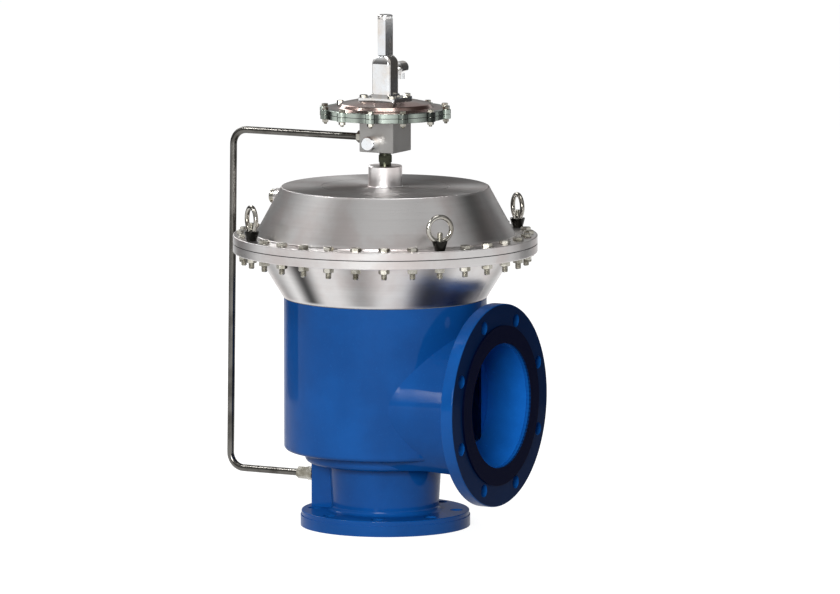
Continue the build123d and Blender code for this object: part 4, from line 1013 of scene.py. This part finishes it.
@dataclass
class SubAssembly:
    """CAD nodes and new pieces that are dressed and reported together."""

    body: str = "root"
    looks: Looks = ()

    def build(self) -> None:
        """Gives the CAD nodes their finishes."""
        for finish, nodes in self.looks:
            for name in nodes.split():
                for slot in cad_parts[name].material_slots:
                    slot.material = paint(finish)
                log.info("%s: %s", name, finish.name)

    def seat(self, piece: bpy.types.Object, finish: Finish, node: str) -> bpy.types.Object:
        """Lets a new piece stand for a CAD node, which it hides.

        Args:
            piece: The new piece, which may ride on a body.
            finish: Its finish.
            node: The node that it stands for.

        Returns:
            The piece.
        """
        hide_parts(node)
        log.info("%s: %s, %d faces", piece.name, finish.name, len(piece.data.polygons))
        return piece

    def ring(self, name: str, part: bpy.types.Mesh, finish: Finish, node: str, count: int, radius: float,
             height: float, first: float = 0.0, skip: tuple[int, int] = (0, 0), wobble: float = 0.05,
             seed: int = 1) -> bpy.types.Object:
        """Sets copies of a part round the axis in place of a CAD node.

        Args:
            name: The new piece's name.
            part: The mesh that is repeated.
            finish: Its finish.
            node: The CAD node that the ring stands for.
            count: How many places the circle has.
            radius: The circle's radius.
            height: The height of the part's own origin.
            first: The angle of the first place.
            skip: Every how many places one is left out, and the first of those.
            wobble: How far a copy may be turned about its own axis either way.
            seed: What the turning is drawn from.

        Returns:
            The ring.
        """
        model = add_object(part.name, part)
        piece = tree_of(ring_tree).make(name, {
            "Part": model, "Count": count, "Radius": radius, "Height": height, "First Angle": first,
            "Skip Step": skip[0], "Skip Start": skip[1], "Wobble": wobble, "Seed": seed,
            "Finish": paint(finish),
        })
        bpy.data.objects.remove(model)
        return self.seat(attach(piece, self.body), finish, node)

    def bend(self, piece: bpy.types.Object, bodies: tuple[str, str], start: float,
             end: float) -> bpy.types.Object:
        """Bakes a soft piece's place into its mesh.

        Args:
            piece: The piece.
            bodies: Not used.
            start: Not used.
            end: Not used.

        Returns:
            The piece.
        """
        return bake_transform(piece, bodies[0], bodies[1], start=(0, 0, start), end=(0, 0, end))

    def coil(self, name: str, node: str, turns: float, radius: float, wire: float,
             stretch: tuple[float, float] = (0.0, 1.0)) -> bpy.types.Object:
        """Winds a spring, or a stretch of it, as long as a CAD node.

        Args:
            name: The new piece's name.
            node: The CAD node.
            turns: The whole spring's turns.
            radius: The radius of its wire's middle.
            wire: The wire's own radius.
            stretch: Where along the wire the piece starts and ends, from 0 to 1.

        Returns:
            The piece.
        """
        low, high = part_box(node)
        return tree_of(coil_tree).make(name, {
            "Turns": turns, "Radius": radius, "Wire": wire, "Length": high.z - low.z, "Foot": low.z,
            "From": stretch[0], "To": stretch[1], "Finish": paint(SPRING),
        })


@dataclass
class BodyCasting(SubAssembly):
    """The enamelled angle body, its nozzle and the gasket on its top rim."""

    looks: Looks = (
        (ENAMEL, "body_casting"), (TURNED, "seat_nozzle"), (RUBBER, "nozzle_o_ring"),
        (GASKET, "body_gasket"),
    )


@dataclass
class MainValve(SubAssembly):
    """The pallet on its stem, and the diaphragm that lifts it."""

    body: str = "main_valve"
    looks: Looks = (
        (TURNED, "pallet seat_retainer main_stem lower_diaphragm_plate upper_diaphragm_plate"),
        (FASTENER, "pallet_nut stem_nut"),
        (RUBBER, "seat_insert stem_seal"),
    )
    hole: float = 8.1 * MM
    sheet: float = 1.5 * MM
    flat_rings: tuple[float, ...] = (60 * MM, 120 * MM, 150 * MM)
    flat_to: float = 155.0 * MM
    clamp_from: float = 204.0 * MM
    clamp_rings: tuple[float, ...] = (230 * MM, 254 * MM)
    low_face: float = 457.5 * MM
    high_face: float = 476.5 * MM
    wave: float = 0.8 * MM
    steps: int = 40

    def middle(self, radius: float) -> float:
        """Gives the height of the diaphragm's lower face at a distance from the axis."""
        t = min(1.0, max(0.0, (radius - self.flat_to) / (self.clamp_from - self.flat_to)))
        ease = t * t * (3 - 2 * t)
        ripple = self.wave * math.sin(math.pi * t) * math.sin(6 * math.pi * t)
        return self.low_face + (self.high_face - self.low_face) * ease + ripple

    def build(self) -> None:
        """Dresses the moving pieces and makes the rippled sheet between casing and plates."""
        super().build()
        width, steps = self.clamp_from - self.flat_to, self.steps
        slope = [self.flat_to + width * i / steps for i in range(steps + 1)]
        radii = [self.hole, *self.flat_rings, *slope, *self.clamp_rings]
        mesh = sheet_mesh("rolled_diaphragm", radii, self.middle, self.sheet, 144)
        piece = add_object(mesh.name, mesh, RUBBER)
        self.bend(piece, ("root", self.body), self.high_face + 0.5 * MM, self.low_face + self.sheet)
        self.seat(piece, RUBBER, "main_diaphragm")


@dataclass
class DiaphragmCasing(SubAssembly):
    """The two spun casings, their rim of bolts and the closing spring."""

    looks: Looks = (
        (LOWER_CONE, "lower_casing"), (UPPER_DOME, "upper_casing"), (FASTENER, "dome_plug casing_screws"),
        (BRONZE, "stem_bushes"),
    )
    circle: float = 240.0 * MM
    places: int = 32
    first: float = math.radians(5.625)
    eyes: tuple[int, int] = (8, 4)
    flats: float = 16.0 * MM
    bolt: float = 5.0 * MM
    head: float = 6.5 * MM
    seat_z: float = 491.0 * MM
    nut_z: float = 454.1 * MM
    nut: float = 8.4 * MM
    end_z: float = 444.1 * MM

    def shank(self) -> LoopStack:
        """Makes the threaded end of a bolt or stud, from an origin in the flange's upper face."""
        tip = (1.2 * MM, 0.6 * MM, 0.7 * MM)
        end, foot = self.end_z - self.seat_z, self.nut_z - self.seat_z
        return LoopStack().shank(self.bolt, end, foot, tip, 1.2 * MM)

    def build(self) -> None:
        """Dresses the casings, sets the rings of bolts and nuts and winds the spring."""
        super().build()
        bolt = self.shank().circle(self.bolt, 0.0).hex_solid(self.flats, 0.0, self.head, Bevel.TOP)
        nut = LoopStack().nut(self.bolt, self.flats, self.nut, 0.5 * MM, 0.4 * MM)
        self.ring("bolt_ring", bolt.mesh("casing_bolt"), FASTENER, "casing_bolts", self.places, self.circle,
                  self.seat_z, self.first, self.eyes, 0.16, 4)
        self.ring("nut_ring", nut.mesh("casing_nut", True), FASTENER, "casing_nuts", self.places, self.circle,
                  self.nut_z, self.first, (0, 0), 0.3, 7)
        coil = self.coil("closing_coil", "closing_spring", 5.0, 34.0 * MM, 2.5 * MM)
        self.seat(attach(coil, self.body), SPRING, "closing_spring")
        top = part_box("closing_spring")[1].z
        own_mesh(coil)


@dataclass
class LiftingEyes(DiaphragmCasing):
    """The four lifting eyes on their studs."""

    top_z: float = 521.0 * MM
    foot_r: float = 9.0 * MM
    shoulder_r: float = 13.0 * MM
    shoulder: float = 16.5 * MM
    ring_z: float = 35.5 * MM
    ring_r: float = 20.4 * MM
    section_r: float = 4.0 * MM
    section_steps: int = 16

    def eye_mesh(self) -> bpy.types.Mesh:
        """Makes one eye nut, whose ring looks outwards, with its origin in the flange's upper face."""
        foot = LoopStack().circle(self.bolt, 0.0).circle(self.foot_r - 0.6 * MM, 0.0)
        foot.circle(self.foot_r, 0.8 * MM).circle(self.shoulder_r, self.shoulder - 0.8 * MM)
        foot.circle(self.shoulder_r - 0.8 * MM, self.shoulder).circle(self.bolt, self.shoulder)
        ring = LoopStack(segments=64)
        for i in range(self.section_steps):
            angle = TURN * i / self.section_steps - math.pi
            ring.circle(self.ring_r + self.section_r * math.cos(angle), self.section_r * math.sin(angle))
        hoop = ring.mesh("eye_hoop", hollow=True)
        hoop.transform(Matrix.Translation((0.0, 0.0, self.ring_z)) @ Matrix.Rotation(math.pi / 2, 4, "Y"))
        both = bmesh.new()
        both.from_mesh(foot.mesh("eye_foot", hollow=True))
        both.from_mesh(hoop)
        mesh = bpy.data.meshes.new("eye_nut")
        both.to_mesh(mesh)
        both.free()
        return mesh

    def stud_mesh(self) -> bpy.types.Mesh:
        """Makes one stud, with its origin in the flange's upper face."""
        top = self.top_z - self.seat_z
        stack = self.shank().circle(self.bolt, 12.0 * MM).thread(self.bolt, 12.5 * MM, top - 0.8 * MM)
        stack.circle(self.bolt - 0.6 * MM, top - 0.7 * MM).circle(self.bolt - 1.2 * MM, top)
        return stack.mesh("eye_stud")

    def build(self) -> None:
        """Sets the eyes and their studs."""
        step, start = self.eyes
        first = self.first + TURN * start / self.places
        self.ring("eye_nut_ring", self.eye_mesh(), EYE_STEEL, "eye_nuts", self.places // step, self.circle,
                  self.seat_z, first, wobble=0.0)
        self.ring("eye_stud_ring", self.stud_mesh(), FASTENER, "eye_studs", self.places // step, self.circle,
                  self.seat_z, first)


@dataclass
class SenseLine(SubAssembly):
    """The bent tube from the inlet to the pilot, with its fittings."""

    looks: Looks = (
        (TUBE, "sense_tube"),
        (FASTENER, "sense_connector_lower sense_connector_upper sense_nut_lower sense_nut_upper"),
    )


@dataclass
class PilotBlock(SubAssembly):
    """The milled block under the pilot, on its nipple."""

    looks: Looks = (
        (DARK_NIPPLE, "pilot_nipple"), (MILLED, "pilot_block"), (POLISHED, "block_plug"),
        (BRONZE, "pilot_seat pilot_bush"), (FASTENER, "block_screws"),
    )


@dataclass
class PilotCasing(SubAssembly):
    """The pilot's two scalloped casings, their bolts and the pilot valve inside."""

    looks: Looks = (
        (PILOT_STEEL, "pilot_lower_casing pilot_upper_casing"),
        (TURNED, "pilot_lower_plate pilot_upper_plate pilot_stem"),
        (FASTENER, "pilot_stem_nut"),
    )
    circle: float = 104.0 * MM
    lobes: int = 12
    first: float = math.radians(15)
    flats: float = 10.0 * MM
    bolt: float = 3.0 * MM
    head: float = 4.5 * MM
    seat_z: float = 704.0 * MM
    nut_z: float = 683.0 * MM
    nut: float = 5.0 * MM
    end_z: float = 680.0 * MM
    sheet_z: float = 695.5 * MM
    sheet: float = 1.0 * MM
    sheet_edge: float = 104.5 * MM
    notch_r: float = 3.3 * MM
    flat_rings: tuple[float, ...] = (4.05 * MM, 30 * MM, 58 * MM)
    clamp_rings: tuple[float, ...] = (90 * MM, 100 * MM)
    fold_from: float = 60.0 * MM
    fold_width: float = 16.0 * MM
    fold: float = 2.4 * MM
    steps: int = 16
    points: int = 360

    def edge(self, angle: float) -> float:
        """Gives the reach of the sheet's edge, which the bolts cut into, at an angle."""
        turn = (angle - self.first + TURN / 24) % (TURN / 12) - TURN / 24
        across = self.circle * math.sin(turn)
        if abs(across) >= self.notch_r:
            return self.sheet_edge
        deep = self.circle * math.cos(turn) - math.sqrt(self.notch_r ** 2 - across ** 2)
        return min(self.sheet_edge, deep)

    def sag(self, radius: float) -> float:
        """Gives the height of the sheet's lower face at a distance from the axis."""
        t = min(1.0, max(0.0, (radius - self.fold_from) / self.fold_width))
        return self.sheet_z - self.fold * (0.5 - 0.5 * math.cos(TURN * t))

    def sheets(self) -> None:
        """Makes the diaphragm in two rings that meet in its fold."""
        bends = [self.fold_from + self.fold_width * i / self.steps for i in range(self.steps + 1)]
        half = self.steps // 2
        inside, outside = [*self.flat_rings, *bends[:half + 1]], [*bends[half:], *self.clamp_rings]
        inner = sheet_mesh("pilot_sheet_middle", inside, self.sag, self.sheet, self.points)
        outer = sheet_mesh("pilot_sheet_rim", outside, self.sag, self.sheet, self.points, self.edge)
        middle, rim = add_object(inner.name, inner, RUBBER), add_object(outer.name, outer, RUBBER)
        self.bend(middle, ("root", "pilot_valve"), self.sheet_z - self.fold + self.sheet, self.sheet_z)
        self.seat(middle, RUBBER, "pilot_diaphragm")
        self.seat(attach(rim, self.body), RUBBER, "pilot_diaphragm")

    def build(self) -> None:
        """Dresses the casings, makes the diaphragm and sets the bolts and nuts."""
        super().build()
        self.sheets()
        end, foot = self.end_z - self.seat_z, self.nut_z - self.seat_z
        tip = (0.9 * MM, 0.4 * MM, 0.4 * MM)
        bolt = LoopStack().shank(self.bolt, end, foot, tip, 1.0 * MM, 1.0 * MM).circle(self.bolt, 0.0)
        bolt.hex_solid(self.flats, 0.0, self.head, Bevel.TOP)
        nut = LoopStack().nut(self.bolt, self.flats, self.nut, 0.3 * MM, 0.3 * MM)
        self.ring("rim_bolt_ring", bolt.mesh("rim_bolt"), FASTENER, "rim_bolts", self.lobes, self.circle,
                  self.seat_z, self.first, (0, 0), 0.3, 11)
        self.ring("rim_nut_ring", nut.mesh("rim_nut", True), FASTENER, "rim_nuts", self.lobes, self.circle,
                  self.nut_z, self.first, (0, 0), 0.4, 13)


@dataclass
class Bonnet(SubAssembly):
    """The square spring tower with its vent, its screws and the range spring."""

    looks: Looks = (
        (POLISHED, "bonnet bonnet_vent vent_screen"), (TURNED, "lower_spring_button upper_spring_button"),
    )
    corner: float = 26.5 * MM
    flats: float = 12.0 * MM
    bolt: float = 4.0 * MM
    head: float = 5.0 * MM
    seat_z: float = 722.0 * MM
    wire: float = 1.6 * MM
    spring_r: float = 10.0 * MM

    def build(self) -> None:
        """Dresses the tower, sets its screws and winds its spring in two halves."""
        super().build()
        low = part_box("bonnet_screws")[0].z - self.seat_z
        screw = LoopStack().circle(self.bolt - 0.8 * MM, low).circle(self.bolt - 0.3 * MM, low + 0.5 * MM)
        screw.circle(self.bolt - 0.3 * MM, 0.0).hex_solid(self.flats, 0.0, self.head, Bevel.TOP)
        self.ring("bonnet_screw_ring", screw.mesh("bonnet_screw"), FASTENER, "bonnet_screws", 4,
                  self.corner * math.sqrt(2), self.seat_z, math.radians(45), (0, 0), 0.5, 17)
        foot, top = (corner.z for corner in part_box("range_spring"))
        middle, clear = (foot + top) / 2, 2 * self.wire
        for name, stretch, bodies, start, end in (
            ("range_coil_low", (0.0, 0.5), ("pilot_valve", "root"), foot + clear, middle - clear),
            ("range_coil_high", (0.5, 1.0), ("root", "set_button"), middle + clear, top - clear),
        ):
            coil = self.coil(name, "range_spring", 6.0, self.spring_r, self.wire, stretch)
            self.seat(self.bend(coil, bodies, start, end), SPRING, "range_spring")


@dataclass
class Adjuster(SubAssembly):
    """The adjusting screw, its lock nut and the long hexagonal cap over them."""

    looks: Looks = (
        (FASTENER, "adjusting_screw lock_nut"), (GASKET, "cap_washer"), (POLISHED, "adjuster_cap"),
    )


@dataclass(frozen=True)
class Patch:
    """A soft patch of the surroundings: where it is, how far it fades out, in degrees, and its strength."""

    azimuth: float
    elevation: float
    width: float
    height: float
    strength: float


@dataclass(frozen=True)
class Lamp:
    """A soft box: where it stands in degrees round the valve, how far off, how large and how strong."""

    name: str
    azimuth: float
    elevation: float
    distance: float
    width: float
    height: float
    power: float

    def build(self, aim: Vector) -> bpy.types.Object:
        """Makes the lamp.

        Args:
            aim: The point that it faces.

        Returns:
            The lamp.
        """
        data = bpy.data.lights.new(self.name, "AREA")
        data.shape, data.size, data.size_y, data.energy = "RECTANGLE", self.width, self.height, self.power
        lamp = bpy.data.objects.new(self.name, data)
        bpy.context.scene.collection.objects.link(lamp)
        lamp.location = aim + direction(self.azimuth, self.elevation) * self.distance
        lamp.rotation_euler = (lamp.location - aim).to_track_quat("Z", "Y").to_euler()
        lamp.visible_camera = False
        return lamp


@dataclass(frozen=True)
class Flag:
    """A black card outside the picture: its direction in degrees, how far off and how large it is."""

    name: str
    azimuth: float
    distance: float
    width: float
    height: float
    foot: float = 0.0

    def build(self) -> bpy.types.Object:
        """Makes the flag, which the camera and the shadows don't see.

        Returns:
            The flag.
        """
        out = direction(self.azimuth, 0.0)
        side = direction(self.azimuth + 90.0, 0.0) * (self.width / 2)
        foot = out * self.distance + Vector((0.0, 0.0, self.foot))
        top = Vector((0.0, 0.0, self.height))
        mesh = bpy.data.meshes.new(self.name)
        corners = [foot + side, foot - side, foot - side + top, foot + side + top]
        mesh.from_pydata(corners, [], [(0, 1, 2, 3)])
        flag = add_object(self.name, mesh, CARD)
        flag.visible_camera = flag.visible_shadow = flag.visible_diffuse = False
        return flag


def direction(azimuth: float, elevation: float) -> Vector:
    """Gives the unit vector towards an azimuth from the X axis and an elevation, both in degrees."""
    turn, rise = math.radians(azimuth), math.radians(elevation)
    return Vector((math.cos(turn) * math.cos(rise), math.sin(turn) * math.cos(rise), math.sin(rise)))


@dataclass
class Studio:
    """The camera, the floor, the lamps and the soft surroundings."""

    aim: Vector = field(default_factory=lambda: Vector((0.0, 0.0, 0.3847)))
    shift: float = 0.0581
    azimuth: float = -61.6
    elevation: float = 7.5
    distance: float = 15.0
    seen_width: float = 1.407
    sensor: float = 36.0
    floor_radius: float = 14.0
    floor_drop: float = 0.2 * MM
    lamps: tuple[Lamp, ...] = (
        Lamp("front_box", -74.0, 12.0, 6.0, 2.6, 1.6, 275.0),
        Lamp("key_box", -146.0, 49.0, 3.4, 0.42, 0.42, 24.0),
        Lamp("top_box", -60.0, 82.0, 3.0, 1.4, 1.4, 26.0),
        Lamp("back_box", 150.0, 34.0, 3.4, 1.4, 1.4, 34.0),
    )
    patches: tuple[Patch, ...] = (
        Patch(-152.0, 30.0, 55.0, 36.0, 0.75),
        Patch(30.0, 8.0, 28.0, 22.0, 0.9),
        Patch(-60.0, 50.0, 110.0, 40.0, 0.7),
        Patch(8.0, 40.0, 25.0, 30.0, 0.6),
        Patch(93.0, 6.0, 14.0, 40.0, 0.6),
        Patch(122.0, 26.0, 40.0, 34.0, 0.45),
    )
    flags: tuple[Flag, ...] = (
        Flag("right_flag", 61.6, 1.6, 0.72, 1.3),
        Flag("left_flag", 170.0, 1.6, 0.9, 0.75),
        Flag("cap_flag", 1.6, 1.6, 0.3, 0.14, 0.56),
    )
    ambient: float = 0.1

    def camera(self) -> bpy.types.Object:
        """Makes the camera at the photograph's angle."""
        scene = bpy.context.scene
        data = bpy.data.cameras.new("camera")
        data.sensor_width = self.sensor
        data.lens = self.sensor * self.distance / self.seen_width
        data.clip_end = 100.0
        camera = bpy.data.objects.new("camera", data)
        scene.collection.objects.link(camera)
        back = direction(self.azimuth, self.elevation)
        right = direction(self.azimuth + 90.0, 0.0)
        camera.location = self.aim + right * self.shift + back * self.distance
        camera.rotation_euler = back.to_track_quat("Z", "Y").to_euler()
        scene.camera = camera
        return camera

    def floor(self) -> bpy.types.Object:
        """Makes the floor under the inlet flange."""
        shape = bmesh.new()
        bmesh.ops.create_circle(shape, cap_ends=True, segments=96, radius=self.floor_radius)
        mesh = bpy.data.meshes.new("floor")
        shape.to_mesh(mesh)
        shape.free()
        mesh.transform(Matrix.Translation((0.0, 0.0, -self.floor_drop)))
        floor = add_object("floor", mesh, FLOOR)
        return floor

    def surroundings(self) -> bpy.types.World:
        """Makes the world: a dim grey room with soft bright patches."""
        world = bpy.data.worlds.new("soft_room")
        world.use_nodes = True
        world.node_tree.nodes.clear()
        tree = Tree(world.node_tree)
        way = tree.add("ShaderNodeSeparateXYZ", {}, {"Vector": tree.add("ShaderNodeTexCoord")["Generated"]})
        azimuth = way["Y"].math("ARCTAN2", way["X"])
        height = way["Z"].math("ARCSINE")
        level: Value = self.ambient
        for patch in self.patches:
            spread = azimuth.off(patch.azimuth).bump_at(0.0, math.radians(patch.width))
            rise = height.bump_at(math.radians(patch.elevation), math.radians(patch.height))
            level = spread * rise * patch.strength + level
        light = tree.add("ShaderNodeBackground", {}, {"Color": (1.0, 1.0, 1.0), "Strength": level})
        tree.add("ShaderNodeOutputWorld", {}, {"Surface": light["Background"]})
        bpy.context.scene.world = world
        return world

    def build(self) -> None:
        """Sets up the studio."""
        bpy.context.scene.view_settings.view_transform = "Standard"
        self.camera()
        self.floor()
        self.surroundings()
        for flag in self.flags:
            flag.build()
        for lamp in self.lamps:
            lamp.build(self.aim)
            log.info("%s: %.0f W", lamp.name, lamp.power)


def main() -> None:
    """Builds the studio and the sub-assemblies in order."""
    logging.basicConfig(level=logging.INFO, format="%(name)s: %(message)s")
    parts = (
        Studio(), BodyCasting(), MainValve(), DiaphragmCasing(), LiftingEyes(), SenseLine(), PilotBlock(),
        PilotCasing(), Bonnet(), Adjuster(),
    )
    for part in parts:
        part.build()


if __name__ == "__main__":
    main()
